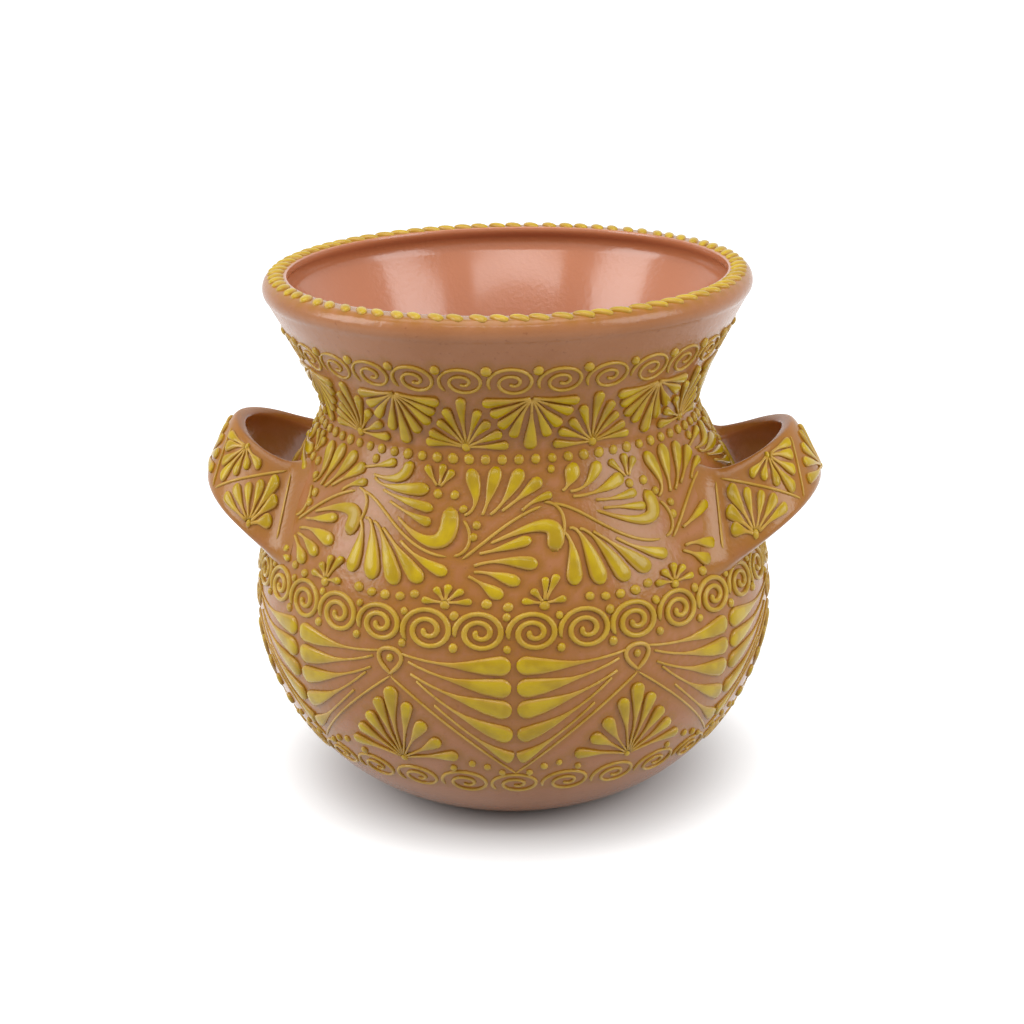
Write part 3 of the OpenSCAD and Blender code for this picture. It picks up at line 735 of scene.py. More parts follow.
# Dark specks multiply the tone of the glaze by this colour, up to this share
SPECK = srgb(170, 130, 100)
SPECK_DEPTH = 0.35
# Spans of the noise that the tone, the specks, the gloss and the ripple follow
TONE_SPAN = (0.32, 0.7)
SPECK_SPAN = (0.62, 0.78)
GLOSS_SPAN = (0.3, 0.7)
RIPPLE_SPAN = (0.3, 0.75)
# Roughness where the glaze is thin and where it is thick
GLOSS = (0.14, 0.27)


def glaze_group() -> bpy.types.ShaderNodeTree:
    """Builds the glaze that every finish shares: drifting tone, dark specks, gloss and a faint ripple.

    Returns:
        A node group with Thin and Thick colours in, and Color, Roughness and Height out.
    """
    tree = bpy.data.node_groups.new("clear_glaze", "ShaderNodeTree")
    colours = (("Thin", "INPUT"), ("Thick", "INPUT"), ("Color", "OUTPUT"))
    values = (("Scale", "INPUT"), ("Roughness", "OUTPUT"), ("Height", "OUTPUT"))
    for kind, sockets in (("NodeSocketColor", colours), ("NodeSocketFloat", values)):
        for name, way in sockets:
            tree.interface.new_socket(name, in_out=way, socket_type=kind)
    n = NodeTree(tree)
    given = n.add("NodeGroupInput")
    made = n.add("NodeGroupOutput")
    drift = n.noise({"Detail": 5.0, "Roughness": 0.6})
    n.join(given.outputs["Scale"], drift.inputs["Scale"])
    specks = n.noise({"Scale": 420.0, "Detail": 3.0})
    tone = n.span(drift.outputs["Fac"], *TONE_SPAN)
    colour = n.blend(tone, given.outputs["Thin"], given.outputs["Thick"])
    dark = n.add("ShaderNodeMix", data_type="RGBA", blend_type="MULTIPLY")
    n.join(n.span(specks.outputs["Fac"], *SPECK_SPAN, 0.0, SPECK_DEPTH), dark.inputs[0])
    n.join(colour, dark.inputs[6])
    dark.inputs[7].default_value = SPECK
    n.join(dark.outputs[2], made.inputs["Color"])
    n.join(n.span(drift.outputs["Fac"], *GLOSS_SPAN, *GLOSS), made.inputs["Roughness"])
    n.join(n.span(specks.outputs["Fac"], *RIPPLE_SPAN), made.inputs["Height"])
    return tree


@dataclass(frozen=True)
class Glaze:
    """A finish under clear glaze: its colours and how much it shines."""

    name: str
    thin: Colour
    thick: Colour
    scale: float
    bump: float = 0.12
    coat: float = 0.06
    coat_rough: float = 0.12
    sheen: float = 0.3
    ripple: float = 0.0006

    def base(self) -> tuple[bpy.types.Material, NodeTree, bpy.types.Node, bpy.types.Node]:
        """Starts the material.

        Returns:
            The material, its tree, its shader, and the shared glaze with this finish's colours.
        """
        look = bpy.data.materials.new(self.name)
        look.use_nodes = True
        n = NodeTree(look.node_tree)
        shader = fill(look.node_tree.nodes["Principled BSDF"], {
            "Coat Weight": self.coat, "Coat Roughness": self.coat_rough,
            "Specular IOR Level": self.sheen})
        group = bpy.data.node_groups.get("clear_glaze") or glaze_group()
        glaze = n.add("ShaderNodeGroup", node_tree=group)
        fill(glaze, {"Thin": self.thin, "Thick": self.thick, "Scale": self.scale})
        bump = fill(n.add("ShaderNodeBump"), {"Strength": self.bump, "Distance": self.ripple})
        n.join(glaze.outputs["Height"], bump.inputs["Height"])
        n.join(bump.outputs["Normal"], shader.inputs["Normal"])
        n.join(glaze.outputs["Roughness"], shader.inputs["Roughness"])
        return look, n, shader, glaze


@dataclass(frozen=True)
class ClayGlaze(Glaze):
    """The pot itself: pinkish clay that turns amber where the glaze pools, and warmer inside."""

    pooled: Colour = srgb(152, 98, 20)
    inside: Colour = srgb(182, 113, 76)
    inside_coat: float = 0.5
    amber: float = 0.9

    def material(self) -> bpy.types.Material:
        """Builds the material from the pool and inside attributes."""
        look, n, shader, glaze = self.base()
        inside = n.attribute("inside")
        colour = n.blend(inside, glaze.outputs["Color"], self.inside)
        n.join(n.span(inside, 0.0, 1.0, self.coat, self.inside_coat), shader.inputs["Coat Weight"])
        amber = n.span(n.attribute("pool"), 0.0, 1.0, 0.0, self.amber)
        n.join(n.blend(amber, colour, self.pooled), shader.inputs["Base Color"])
        return look


@dataclass(frozen=True)
class SlipGlaze(Glaze):
    """Raised slip: tan lines and borders, yellow heads, and amber where the glaze runs off them."""

    yellow: Colour = srgb(186, 156, 0)
    deep: Colour = srgb(166, 134, 0)
    pooled: Colour = srgb(134, 86, 14)
    border: tuple[float, float] = (0.48, 0.84)
    run_off: float = 0.3
    patches: float = 90.0
    patch_span: tuple[float, float] = (0.35, 0.65)

    def material(self) -> bpy.types.Material:
        """Builds the material from the crest and head attributes."""
        look, n, shader, glaze = self.base()
        crest = n.attribute("crest")
        share = n.add("ShaderNodeMath", operation="MULTIPLY")
        n.join(n.span(crest, *self.border), share.inputs[0])
        n.join(n.attribute("head"), share.inputs[1])
        drift = n.noise({"Scale": self.patches})
        gold = n.blend(n.span(drift.outputs["Fac"], *self.patch_span), self.deep, self.yellow)
        colour = n.blend(share.outputs[0], glaze.outputs["Color"], gold)
        colour = n.blend(n.span(crest, 0.0, self.run_off), self.pooled, colour)
        n.join(colour, shader.inputs["Base Color"])
        return look


CLAY = ClayGlaze("pinkish_clay_under_glaze", srgb(170, 112, 71), srgb(156, 98, 53), scale=14.0)
SLIP = SlipGlaze("trailed_slip_under_glaze", srgb(190, 150, 62), srgb(172, 130, 36), scale=60.0,
                 bump=0.08, sheen=0.25)


@dataclass
class Body:
    """The thrown pot: wall, floor, drain hole and rolled lip."""

    wall_t: float = 7.0
    floor_t: float = 9.0
    drain_r: float = 8.0
    lip_r: float = 117.5
    lip_w: float = 12.0
    lip_h: float = 10.0
    crest_z: float = 259.0
    land_w: float = 7.0
    mouth_round: float = 0.5
    edge_h: float = 2.0
    lip_mid: float = 0.42
    lip_bulge: float = 0.18
    lip_rings: int = 8
    overhang: float = 3.6
    under_lip: tuple[Spot, ...] = ((0.5, 0.0), (2.2, 1.2))
    hollow: float = 7.0
    corner_w: float = 4.0
    corner_h: float = 2.2
    wall_from: float = 3.5
    bevel: float = 1.0
    steps: int = 336
    weld: float = 1e-6
    wobble: float = 0.35
    wobble_scale: float = 22.0
    wobble_from: float = 6.0
    wobble_full: float = 30.0
    pool_reach: float = 5.4

    def lip(self) -> tuple[list[Vector], list[Vector]]:
        """Gives the rolled lip from its crease to the land, and from the land to the mouth."""
        mid_z = WALL.crease_z + self.lip_h * self.lip_mid
        mouth = self.lip_r - self.lip_w
        land_in = mouth + self.mouth_round
        land_out = land_in + self.land_w
        crease = (WALL.crease_r, WALL.crease_z)
        bulge = (self.lip_r, WALL.crease_z + self.lip_h * self.lip_bulge)
        outer = [bow(crease, bulge, (self.lip_r, mid_z), i / self.lip_rings)
                 for i in range(1, self.lip_rings + 1)]
        for a in range(10, 91, 10):
            d = heading(90 - a)
            outer.append(Vector((mix(land_out, self.lip_r, d.x), mix(mid_z, self.crest_z, d.y))))
        outer += [Vector((mix(land_out, land_in, k), self.crest_z)) for k in (0.33, 0.67)]
        inner = []
        for a in range(90, -1, -15):
            d = heading(90 - a)
            inner.append(Vector((mix(land_in, mouth, d.x), self.crest_z - self.edge_h * (1 - d.y))))
        return outer, inner

    def profile(self) -> tuple[list[Vector], int]:
        """Gives the closed outline of the wall.

        Returns:
            Points of radius and height from the foot up the outside and down the inside, and the
            number of points that are outside.
        """
        outer, inside = self.lip()
        outside = list(WALL.points) + outer
        mouth = self.lip_r - self.lip_w
        wall = []
        for p, lean in list(zip(WALL.points, WALL.lean))[::3]:
            q = p - Vector((math.cos(lean), math.sin(lean))) * self.wall_t
            if self.floor_t + self.wall_from < q.y < self.crest_z - self.hollow:
                wall.append(q)
        under = self.crest_z - self.overhang
        inside += [Vector((mouth + out, under - down)) for out, down in self.under_lip]
        inside += wall[::-1]
        corner = wall[0].x
        inside += [Vector((corner - self.corner_w * k, self.floor_t + self.corner_h * (1 - k) ** 2))
                   for k in (0.4, 1.0)]
        floor_r = corner - self.corner_w
        inside += [Vector((mix(floor_r, self.drain_r, k), self.floor_t)) for k in (0.35, 0.7, 0.95)]
        inside += [Vector((self.drain_r, z)) for z in (self.floor_t - self.bevel, self.bevel)]
        inside += [Vector((mix(self.drain_r + self.bevel, WALL.foot_r - self.bevel, k), 0))
                   for k in (0.0, 0.5, 1.0)]
        return outside + inside, len(outside)

    def build(self, look: bpy.types.Material) -> bpy.types.Object:
        """Turns the outline into the pot and marks where the glaze pools."""
        points, n_outside = self.profile()
        bm = bmesh.new()
        inner = bm.verts.layers.float.new("inside")
        pool = bm.verts.layers.float.new("pool")
        verts = [bm.verts.new((p.x * MM, 0, p.y * MM)) for p in points]
        for i, v in enumerate(verts):
            v[inner] = 1.0 if i >= n_outside else 0.0
        edges = [bm.edges.new((a, b)) for a, b in zip(verts, verts[1:] + verts[:1])]
        bmesh.ops.spin(bm, geom=verts + edges, cent=(0, 0, 0), axis=(0, 0, 1), angle=2 * math.pi,
                       steps=self.steps, use_merge=True)
        bmesh.ops.remove_doubles(bm, verts=bm.verts, dist=self.weld)
        tree = Spine.tree()
        for v in bm.verts:
            if v[inner] < 0.5:
                v[pool] = Spine.pool(tree, v.co, self.pool_reach)
            out = Vector((v.co.x, v.co.y, 0)).normalized()
            fade = smooth(self.wobble_from, self.wobble_full, v.co.z / MM)
            v.co += out * (self.wobble * MM * noise.noise(v.co * self.wobble_scale) * fade)
        return dress("thrown_body", bm, Slot.CLAY, look, "body")


@dataclass
class Strap:
    """A strap handle and the slip trailed on its outer face. Its side is 1 for right and -1 for left."""

    way: str
    side: int
    thickness: float = 8.5
    edge_power: float = 4.5
    top_reach: float = 139.0
    top_z: float = 186.0
    low_reach: float = 154.2
    root_x: float = 106.0
    low_z: float = 158.0
    root_swell: float = 3.0
    swell_from: float = 58.0
    root_flare: float = 2.0
    flare_from: float = 79.0
    smear_r: float = 12.0
    smear_from: float = 6.2
    smear_most: float = 0.9
    last_phi: float = 95.0
    around: int = 40
    stations: int = 60
    pool_reach: float = 15.0
    inner_face: tuple[float, float] = (0.55, 0.95)
    inner_tone: float = 0.6
    trim_rise: float = 1.6
    trim_dot: tuple[float, float] = (3.4, 1.4)
    trim_line: tuple[float, float] = (1.2, 0.8)
    trim_rings: int = 16

    def edge(self, reach: float, end_z: float, spread: float, root_z: float, phi: float) -> Vector:
        """Gives a point of one edge of the outer face.

        Args:
            reach: Reach of the edge at the end of the loop.
            end_z: Height of the edge there.
            spread: Half angle between the roots.
            root_z: Height of the edge at the wall.
            phi: Place along the loop, 0 at its end and 90 at the wall.

        Returns:
            The point in millimetres.
        """
        r = WALL.radius_at(root_z)
        a, p = math.radians(spread), math.radians(phi)
        return Vector((mix(r * math.cos(a), reach, math.cos(p)), r * math.sin(a) * math.sin(p),
                       mix(root_z, end_z, math.cos(p))))

    def edges(self, phi: float) -> tuple[Vector, Vector]:
        """Gives the lower and upper edge of the outer face."""
        return (self.edge(self.low_reach, self.low_z, ROOT.low_spread, ROOT.low_z, phi),
                self.edge(self.top_reach, self.top_z, ROOT.high_spread, ROOT.high_z, phi))

    def width(self, phi: float) -> float:
        """Gives the width of the outer face."""
        low, top = self.edges(phi)
        return (top - low).length

    def frame(self, phi: float) -> tuple[Vector, Vector, Vector]:
        """Gives the middle of the outer face, the way across it and its outward normal."""
        low, top = self.edges(phi)
        before, after = self.edges(phi - 1), self.edges(phi + 1)
        along = (after[0] + after[1] - before[0] - before[1]) / 2
        across = (top - low).normalized()
        return (low + top) / 2, across, along.cross(across).normalized()

    def swell(self, phi: float) -> float:
        """Gives how much the strap grows towards the wall."""
        swell = max(abs(phi) - self.swell_from, 0) / (90 - self.swell_from)
        flare = max(abs(phi) - self.flare_from, 0) / (90 - self.flare_from)
        return self.root_swell * swell ** 2 + self.root_flare * flare ** 2

    def smear(self, phi: float) -> float:
        """Gives how far the clay smeared at the root lifts the outer face."""
        from_wall = (self.low_reach - self.root_x) * math.cos(math.radians(phi))
        lean = min(max((self.smear_from - from_wall) / self.smear_r, 0.0), self.smear_most)
        return self.smear_r * (1 - math.sqrt(1 - lean * lean))

    def face_drop(self, phi: float, q: float) -> float:
        """Gives how far the rounded face lies under its flat one, at q across it."""
        half = self.width(phi) / 2 + self.swell(phi)
        share = max(1 - abs(q / half) ** self.edge_power, 0.0) ** (1 / self.edge_power)
        lift = self.swell(phi) + self.smear(phi)
        return (self.thickness / 2 + lift) * (1 - share) - lift

    def turned(self, p: Vector) -> Vector:
        """Gives a point of the right handle in metres, on this handle's side."""
        return Vector((self.side * p.x, self.side * p.y, p.z)) * MM

    def place(self, x: float, y: float, h: float) -> Vector:
        """Places a point of a drawing on the outer face, which widens with the strap.

        Args:
            x: Place along the loop.
            y: Place across the face, as at the end of the loop.
            h: Height above the face.

        Returns:
            The point in metres.
        """
        q = y * self.width(x) / self.width(0)
        middle, across, out = self.frame(x)
        return self.turned(middle + across * q + out * (h - self.face_drop(x, q)))

    def section(self, phi: float, share: float) -> Vector:
        """Gives a point of the strap's skin.

        Args:
            phi: Place along the loop.
            share: Place round the section, from 0 to 1.

        Returns:
            The point in metres.
        """
        middle, across, out = self.frame(phi)
        half = self.width(phi) / 2 + self.swell(phi)
        deep = self.thickness / 2 + self.swell(phi)
        a = 2 * math.pi * share
        c, s = math.cos(a), math.sin(a)
        power = 2 / self.edge_power
        q = half * math.copysign(abs(c) ** power, c)
        if s > 0:
            deep += self.smear(phi)
        h = deep * math.copysign(abs(s) ** power, s) - self.thickness / 2
        return self.turned(middle + across * q + out * h)

    def build(self, look: bpy.types.Material) -> bpy.types.Object:
        """Draws the strap's section along the loop."""
        bm = bmesh.new()
        inner = bm.verts.layers.float.new("inside")
        pool = bm.verts.layers.float.new("pool")
        share = bm.verts.layers.float.new("share")
        ring = bmesh.ops.create_circle(bm, segments=self.around, radius=1.0)["verts"]
        for v in ring:
            v[share] = math.atan2(v.co.y, v.co.x) / (2 * math.pi) % 1.0
            v.co = self.section(-self.last_phi, v[share])
        edges = list(bm.edges)
        bmesh.ops.contextual_create(bm, geom=edges)
        for i in range(1, self.stations + 1):
            phi = self.last_phi * math.sin(math.pi * (i / self.stations - 0.5))
            made = bmesh.ops.extrude_edge_only(bm, edges=edges)["geom"]
            edges = [g for g in made if isinstance(g, bmesh.types.BMEdge)]
            for v in (g for g in made if isinstance(g, bmesh.types.BMVert)):
                v.co = self.section(phi, v[share])
        bmesh.ops.contextual_create(bm, geom=edges)
        tree = Spine.tree()
        low, high = self.inner_face
        for v in bm.verts:
            v[pool] = Spine.pool(tree, v.co, self.pool_reach)
            v[inner] = self.inner_tone if low < v[share] < high else 0.0
        return dress(f"{self.way}_strap", bm, Slot.CLAY, look, f"handle_{self.way}")

    def trim(self, look: bpy.types.Material) -> bpy.types.Object:
        """Trails the zigzag and the fans on the outer face."""
        slip = SlipMesh(f"{self.way}_strap_trailing", 41 + self.side, petal_rise=self.trim_rise,
                        keeps_clear=False)
        at = self.place
        slip.fan(at, APEX_ROOT, APEX_FAN, start=0.12)
        slip.dot(at, *APEX_ROOT, *self.trim_dot)
        for way in (-1, 1):
            for (x, y), heads in TRIM_FANS:
                slip.fan(at, (way * x, y), [(way * a, b, wide) for a, b, wide in heads], start=0.14)
                slip.dot(at, way * x, y, *self.trim_dot)
            for knots in TRIM_LINES:
                turned = [(way * a, b) for a, b in knots]
                path = [bow(*turned, i / self.trim_rings) for i in range(self.trim_rings + 1)]
                slip.line(at, path, *self.trim_line)
        return slip.finish(Slot.YELLOW, look, f"handle_{self.way}_trim")


@dataclass
class Rope:
    """The rope edging: slanted beads on the land of the lip."""

    radius: float = 110.8
    height: float = 259.0
    beads: int = 76
    length: float = 9.8
    wide: float = 5.2
    rise: float = 1.7
    slant: float = 33.0
    slant_hand: float = 0.1
    size_hand: float = 0.07
    rings: int = 10
    blunt: float = 0.42
    shift: float = 0.4
    droop: float = 0.02
    curl: float = 0.7
    curl_rate: float = 2.2
    yellow: float = 0.85
    crown: float = 0.8
    sunk: float = 0.8

    def build(self, look: bpy.types.Material) -> bpy.types.Object:
        """Lays the beads round the mouth."""
        slip = SlipMesh("rope_edging", 7, keeps_clear=False)
        steps = [-math.cos(math.pi * k / self.rings) for k in range(self.rings + 1)]
        shares = [max(0.0, 1 - t * t) ** self.blunt for t in steps]
        rises = [self.rise * k for k in shares]
        yellow = [self.yellow] * len(steps)
        for i in range(self.beads):
            a = math.radians(360 * i / self.beads + slip.swing(self.shift))

            def spot(x: float, y: float, h: float, a: float = a) -> Vector:
                """Places a point on the land: x outwards, y along the lip."""
                out = self.radius + x
                return Vector((out * math.cos(a) - y * math.sin(a), out * math.sin(a) + y * math.cos(a),
                               self.height + h - self.droop * x * x)) * MM
            reach = heading(self.slant * slip.vary(self.slant_hand)) * self.length / 2
            path = [reach * t + Vector((self.curl * math.sin(self.curl_rate * t), 0)) for t in steps]
            size = slip.vary(self.size_hand)
            wides = [self.wide * k * size for k in shares]
            slip.lay(Stroke(spot, path, wides, rises, yellow, self.crown, self.sunk), slip.petal_sides)
        return slip.finish(Slot.YELLOW, look, "rim_rope")


@dataclass
class Bands:
    """All bands of slip on the wall, from the lip down to the foot.

    A line is given by its width and height, and a row's dots by their share of the full width.
    """

    look: bpy.types.Material
    spiral_r: float = 11.0
    spiral_turns: float = 2.0
    dot_w: float = 4.8
    dot_rise: float = 1.6
    line_rise: float = 1.05
    neck_spirals: int = 30
    neck_spiral_turn: float = 7.7
    neck_spiral_drop: float = 22.5
    neck_line: tuple[float, float] = (1.8, 0.95)
    neck_squash: float = 0.8
    neck_squeeze: float = 0.94
    neck_dot_up: float = 6.7
    neck_fans: int = 10
    neck_turn: float = 12.5
    neck_gap: float = 0.75
    root_dot: float = 0.95
    collar_dots: int = 78
    collar_drop: float = 5.2
    plumes: int = 7
    plume_turn: float = -31.5
    plume_gap_top: float = 4.4
    plume_gap_low: float = 3.8
    plume_tail: float = 0.22
    stem_w: float = 1.6
    shoulder_dot: float = 0.9
    belly_spirals: int = 33
    belly_spiral_rise: float = 24.5
    belly_spiral_turns: float = 2.2
    belly_line: tuple[float, float] = (2.9, 1.5)
    belly_yellow: float = 0.45
    belly_squash: float = 0.82
    belly_stretch: float = 1.04
    belly_dot: float = 0.85
    belly_dot_up: float = 7.2
    panels: int = 7
    panel_turn: float = -19.0
    panel_tail_w: float = 1.2
    panel_fan_swell: float = 0.4
    feather_rise: float = 0.7
    feather_swell: float = 0.36
    feather_tail: float = 0.12
    leg_line: tuple[float, float] = (1.3, 0.84)
    leg_rings: int = 24
    loop_line: tuple[float, float] = (2.2, 1.26)
    base_spirals: int = 30
    base_spiral_turn: float = -5.2
    base_spiral_drop: float = 60.0
    base_line: tuple[float, float] = (1.8, 0.9)
    base_squash: float = 0.8
    base_dot: float = 0.78
    base_dot_rise: float = 1.44

    @staticmethod
    def turns(n: int, start: float = 0.0) -> list[float]:
        """Gives n turns spread round the pot."""
        return [start + 360 * i / n for i in range(n)]

    def finish(self, slot: Slot, *bands: SlipMesh) -> None:
        """Turns bands into pieces, each for the CAD node that it is named after."""
        for band in bands:
            band.finish(slot, self.look, band.name.removesuffix("_trailed"))

    def neck(self) -> None:
        """Trails the spirals, fans and dots of the neck."""
        s = WALL.crease_s - self.neck_spiral_drop
        spirals = SlipMesh("neck_spirals_trailed", 11)
        dots = SlipMesh("neck_dots_trailed", 12)
        for turn in self.turns(self.neck_spirals, self.neck_spiral_turn):
            at = WALL.cell(turn, s, up=self.neck_squash)
            spirals.spiral(at, self.spiral_r * self.neck_squeeze, self.spiral_turns, self.neck_line)
            between = WALL.cell(turn + 180 / self.neck_spirals, s)
            dots.dot(between, 0, self.neck_dot_up, self.dot_w, self.dot_rise)
        across = 360 / self.neck_fans / NECK_CELL[0]
        up = (s - self.spiral_r * self.neck_squash - self.neck_gap - WALL.neck_s) / NECK_CELL[1]
        hanging = SlipMesh("neck_hanging_fans_trailed", 13)
        standing = SlipMesh("neck_standing_fans_trailed", 14)
        roots = SlipMesh("neck_fan_dots_trailed", 15)
        for turn in self.turns(self.neck_fans, self.neck_turn):
            at = WALL.cell(turn, WALL.neck_s, across, up)
            hanging.fan(at, HANGING_ROOT, HANGING_FAN, start=0.08)
            between = WALL.cell(turn + 180 / self.neck_fans, WALL.neck_s, across, up)
            standing.fan(between, STANDING_ROOT, STANDING_FAN, start=0.12)
            roots.dot(between, *STANDING_ROOT, self.dot_w * self.root_dot, self.dot_rise)
        collar = SlipMesh("collar_dots_trailed", 16)
        for turn in self.turns(self.collar_dots):
            collar.dot(WALL.cell(turn, WALL.neck_s - self.collar_drop), 0, 0, self.dot_w, self.dot_rise)
        self.finish(Slot.TRAIL, spirals)
        self.finish(Slot.YELLOW, dots, hanging, standing, roots, collar)

    def shoulder(self) -> None:
        """Trails the running plumes, their stems, buds and dots."""
        top = WALL.neck_s - self.collar_drop - self.plume_gap_top
        spirals_top = WALL.belly_s + self.belly_spiral_rise + self.spiral_r * self.belly_squash
        low = spirals_top + self.plume_gap_low
        across = 360 / self.plumes / PLUME_CELL[0]
        up = (top - low) / PLUME_CELL[1]
        plumes = SlipMesh("shoulder_plumes_trailed", 21)
        stems = SlipMesh("shoulder_stems_trailed", 22)
        buds = SlipMesh("shoulder_buds_trailed", 23)
        dots = SlipMesh("shoulder_dots_trailed", 24)
        for i, turn in enumerate(self.turns(self.plumes, self.plume_turn)):
            at = WALL.cell(turn, low, across, up)
            for petal in FALLING_UPPER[i % 2] + FALLING_LOWER + RISING_UPPER + RISING_LOWER:
                plumes.drop(at, petal, longer=self.plume_tail)
            for *knots, wide in HOOKS[i % 2] + [RISING_COMMA]:
                plumes.comma(at, knots, wide)
            for knots in STEMS:
                stems.curve(at, knots, self.stem_w, self.line_rise)
            for root, heads in BUDS:
                buds.fan(at, root, heads)
            for x, y in SHOULDER_SPOTS:
                dots.dot(at, x, y, self.dot_w * self.shoulder_dot, self.dot_rise)
        self.finish(Slot.YELLOW, plumes)
        self.finish(Slot.TRAIL, stems)
        self.finish(Slot.YELLOW, buds, dots)

    def belly(self) -> None:
        """Trails the belly's spirals, zigzag, feathers and fans."""
        s = WALL.belly_s + self.belly_spiral_rise
        spirals = SlipMesh("belly_spirals_trailed", 31)
        dots = SlipMesh("belly_dots_trailed", 32)
        for turn in self.turns(self.belly_spirals):
            at = WALL.cell(turn, s, up=self.belly_squash)
            radius = self.spiral_r * self.belly_stretch
            spirals.spiral(at, radius, self.belly_spiral_turns, self.belly_line, self.belly_yellow)
            between = WALL.cell(turn + 180 / self.belly_spirals, s)
            for y in (-self.belly_dot_up, self.belly_dot_up):
                dots.dot(between, 0, y, self.dot_w * self.belly_dot, self.dot_rise)
        lattice = SlipMesh("belly_lattice_trailed", 33)
        feathers = SlipMesh("belly_feathers_trailed", 34, line_rise=self.feather_rise)
        fans = SlipMesh("belly_fans_trailed", 35)
        across = 360 / self.panels / PANEL_W
        for turn in self.turns(self.panels, self.panel_turn):
            at = WALL.cell(turn, WALL.belly_s, across)
            for side in (-1, 1):
                knots = [(side * x, y) for x, y in PANEL_LEG]
                leg = [bow(*knots, i / self.leg_rings) for i in range(self.leg_rings + 1)]
                lattice.line(at, leg, *self.leg_line)
            for *spots, wide in FEATHERS:
                for petal in ((*spots, wide), (*(flip(p) for p in spots), wide)):
                    feathers.drop(at, petal, self.panel_tail_w, self.feather_swell, self.feather_tail)
            lattice.curve(at, PANEL_LOOP, *self.loop_line)
            fans.fan(at, PANEL_ROOT, PANEL_FAN, 0.1, self.panel_tail_w, self.panel_fan_swell)
        self.finish(Slot.TRAIL, spirals)
        self.finish(Slot.YELLOW, dots)
        self.finish(Slot.TRAIL, lattice)
        self.finish(Slot.YELLOW, feathers, fans)

    def base(self) -> None:
        """Trails the lowest row of spirals and its dots."""
        s = WALL.belly_s - self.base_spiral_drop
        spirals = SlipMesh("base_spirals_trailed", 36)
        for turn in self.turns(self.base_spirals, self.base_spiral_turn):
            at = WALL.cell(turn, s, up=self.base_squash)
            spirals.spiral(at, self.spiral_r, self.spiral_turns, self.base_line)
        dots = SlipMesh("base_dots_trailed", 37)
        across = 360 / self.panels / PANEL_W
        for turn in self.turns(self.panels, self.panel_turn):
            at = WALL.cell(turn, WALL.belly_s, across)
            for x, y in (*PANEL_MIDDLE_SPOTS, *PANEL_SPOTS, *(flip(p) for p in PANEL_SPOTS)):
                dots.dot(at, x, y, self.dot_w * self.base_dot, self.base_dot_rise)
        self.finish(Slot.TRAIL, spirals)
        self.finish(Slot.YELLOW, dots)


@dataclass(frozen=True)
class Lamp:
    """A soft rectangular lamp that faces the pot."""

    name: str
    spot: tuple[float, float, float]
    size: tuple[float, float]
    watts: float
    aim: tuple[float, float, float] = (0.0, 0.0, 0.15)

    def hang(self) -> None:
        """Adds the lamp to the scene."""
        data = bpy.data.lights.new(self.name, "AREA")
        data.shape = "RECTANGLE"
        data.size, data.size_y = self.size
        data.energy = self.watts
        lamp = bpy.data.objects.new(self.name, data)
        lamp.location = self.spot
        aim = Vector(self.aim) - Vector(self.spot)
        lamp.rotation_euler = aim.to_track_quat("-Z", "Y").to_euler()
        bpy.context.scene.collection.objects.link(lamp)


LAMPS = (
    Lamp("left_box", (-1.45, -0.5, 0.95), (0.9, 1.0), 15.0),
    Lamp("right_box", (1.45, -0.5, 0.95), (0.9, 1.0), 14.0),
    Lamp("top_box", (-0.1, -0.1, 1.5), (1.1, 1.1), 11.0),
    Lamp("front_strip", (0.0, -1.1, 1.42), (1.3, 0.16), 4.5))
WHITE: Colour = (1.0, 1.0, 1.0, 1.0)
GREY: Colour = (0.5, 0.5, 0.5, 1.0)


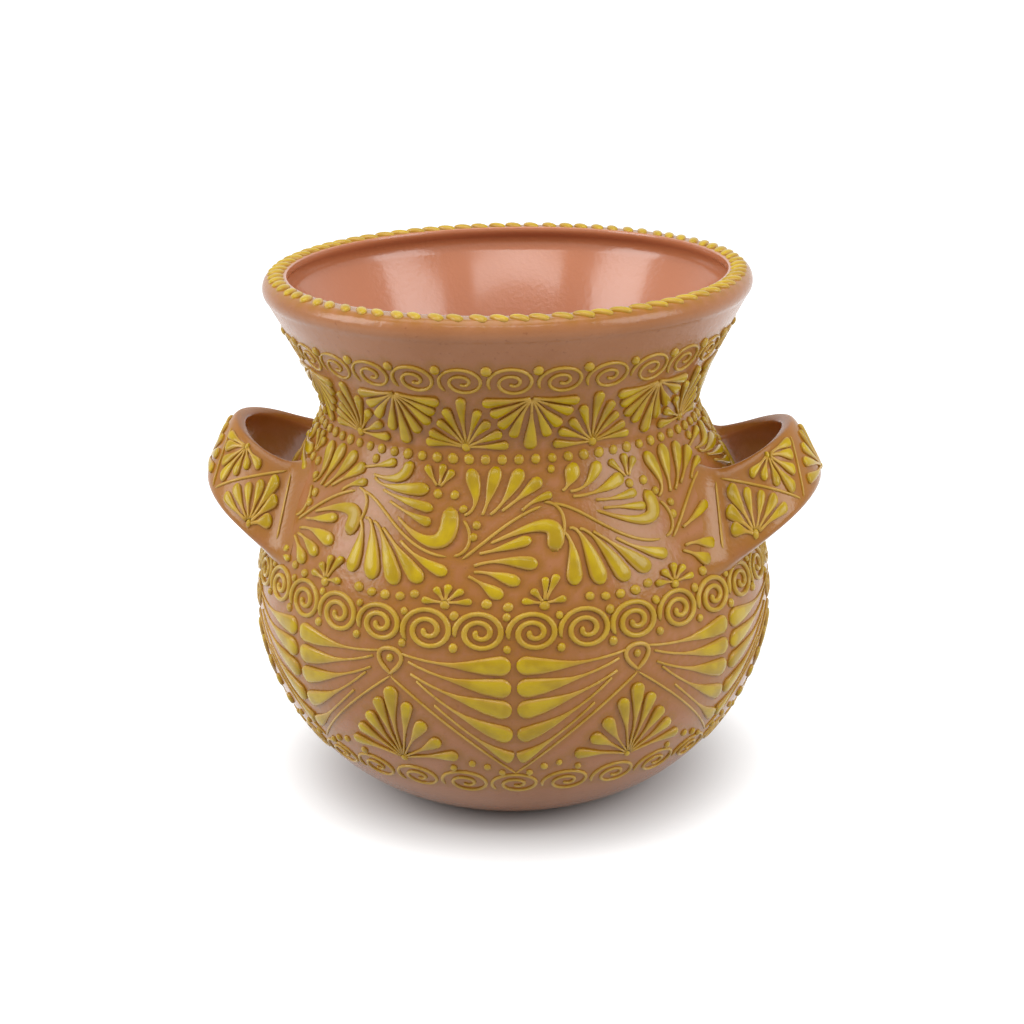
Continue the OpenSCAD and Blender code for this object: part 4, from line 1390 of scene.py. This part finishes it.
@dataclass(frozen=True)
class Studio:
    """Camera, lamps and a white floor, in metres and degrees."""

    distance: float = 0.887
    height: float = 0.437
    yaw: float = 7.0
    pitch: float = 18.85
    roll: float = -1.15
    focal_px: float = 1864.0
    image_px: float = 1024.0
    sensor_mm: float = 36.0
    far: float = 50.0
    sky_lit: float = 0.4
    sky_seen: float = 1.0
    floor_half: float = 40.0
    floor_rough: float = 0.9
    # Painted shadow round the pot: the floor's glow is nothing within the first of these two distances
    # from the axis and full beyond the second, so the foot also reflects this painted shadow
    painted_shadow_core: float = 0.06
    painted_shadow_edge: float = 0.15
    glow: float = 0.83

    def camera(self) -> None:
        """Sets the camera at the viewing angle of the photograph."""
        data = bpy.data.cameras.new("view")
        data.sensor_width = self.sensor_mm
        data.lens = self.focal_px / self.image_px * self.sensor_mm
        data.clip_end = self.far
        cam = bpy.data.objects.new("view", data)
        a = math.radians(self.yaw)
        turn = (Matrix.Rotation(a, 4, "Z") @ Matrix.Rotation(math.radians(90 - self.pitch), 4, "X")
                @ Matrix.Rotation(math.radians(self.roll), 4, "Z"))
        spot = Vector((self.distance * math.sin(a), -self.distance * math.cos(a), self.height))
        cam.matrix_world = Matrix.Translation(spot) @ turn
        bpy.context.scene.collection.objects.link(cam)
        bpy.context.scene.camera = cam

    @staticmethod
    def seen(n: NodeTree) -> bpy.types.NodeSocket:
        """Gives 1 for rays that see a surface straight, in a mirror or through glass."""
        path = n.add("ShaderNodeLightPath")
        total = path.outputs["Is Camera Ray"]
        for name in ("Is Glossy Ray", "Is Transmission Ray"):
            either = n.add("ShaderNodeMath", operation="MAXIMUM")
            n.join(total, either.inputs[0])
            n.join(path.outputs[name], either.inputs[1])
            total = either.outputs[0]
        return total

    def lights(self) -> None:
        """Adds the lamps and an even world that is white where it is seen."""
        for lamp in LAMPS:
            lamp.hang()
        world = bpy.data.worlds.new("even_light")
        world.use_nodes = True
        n = NodeTree(world.node_tree)
        sky = fill(world.node_tree.nodes["Background"], {"Color": WHITE})
        level = fill(n.add("ShaderNodeMapRange"), {"To Min": self.sky_lit, "To Max": self.sky_seen})
        n.join(self.seen(n), level.inputs["Value"])
        n.join(level.outputs["Result"], sky.inputs["Strength"])
        bpy.context.scene.world = world

    def floor(self) -> None:
        """Adds the floor, which is seen as white, with a painted shadow round the pot where its glow
        fades out.
        """
        bm = bmesh.new()
        bmesh.ops.create_grid(bm, x_segments=2, y_segments=2, size=self.floor_half)
        mesh = bpy.data.meshes.new("floor")
        bm.to_mesh(mesh)
        bm.free()
        floor = bpy.data.objects.new("floor", mesh)
        bpy.context.scene.collection.objects.link(floor)
        look = bpy.data.materials.new("white_floor")
        look.use_nodes = True
        n = NodeTree(look.node_tree)
        shader = fill(look.node_tree.nodes["Principled BSDF"], {
            "Base Color": GREY, "Roughness": self.floor_rough, "Emission Color": WHITE})
        level = n.add("ShaderNodeMath", operation="MULTIPLY")
        n.join(self.seen(n), level.inputs[0])
        away = n.add("ShaderNodeVectorMath", operation="LENGTH")
        n.join(n.add("ShaderNodeTexCoord").outputs["Object"], away.inputs[0])
        # Painted shadow: the floor's glow fades to nothing towards the pot's foot
        glow = n.span(away.outputs["Value"], self.painted_shadow_core, self.painted_shadow_edge, 0.0, self.glow)
        n.join(glow, level.inputs[1])
        n.join(level.outputs[0], shader.inputs["Emission Strength"])
        mesh.materials.append(look)


def main() -> None:
    """Builds the pot from the lip down, then the studio."""
    logging.basicConfig(level=logging.INFO)
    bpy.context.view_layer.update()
    slip_look = SLIP.material()
    clay_look = CLAY.material()
    Rope().build(slip_look)
    bands = Bands(slip_look)
    bands.neck()
    bands.shoulder()
    bands.belly()
    bands.base()
    for strap in (Strap("right", 1), Strap("left", -1)):
        strap.trim(slip_look)
        strap.build(clay_look)
    Body().build(clay_look)
    studio = Studio()
    studio.camera()
    studio.lights()
    studio.floor()
    bpy.context.scene.view_settings.view_transform = "Standard"


if __name__ == "__main__":
    main()
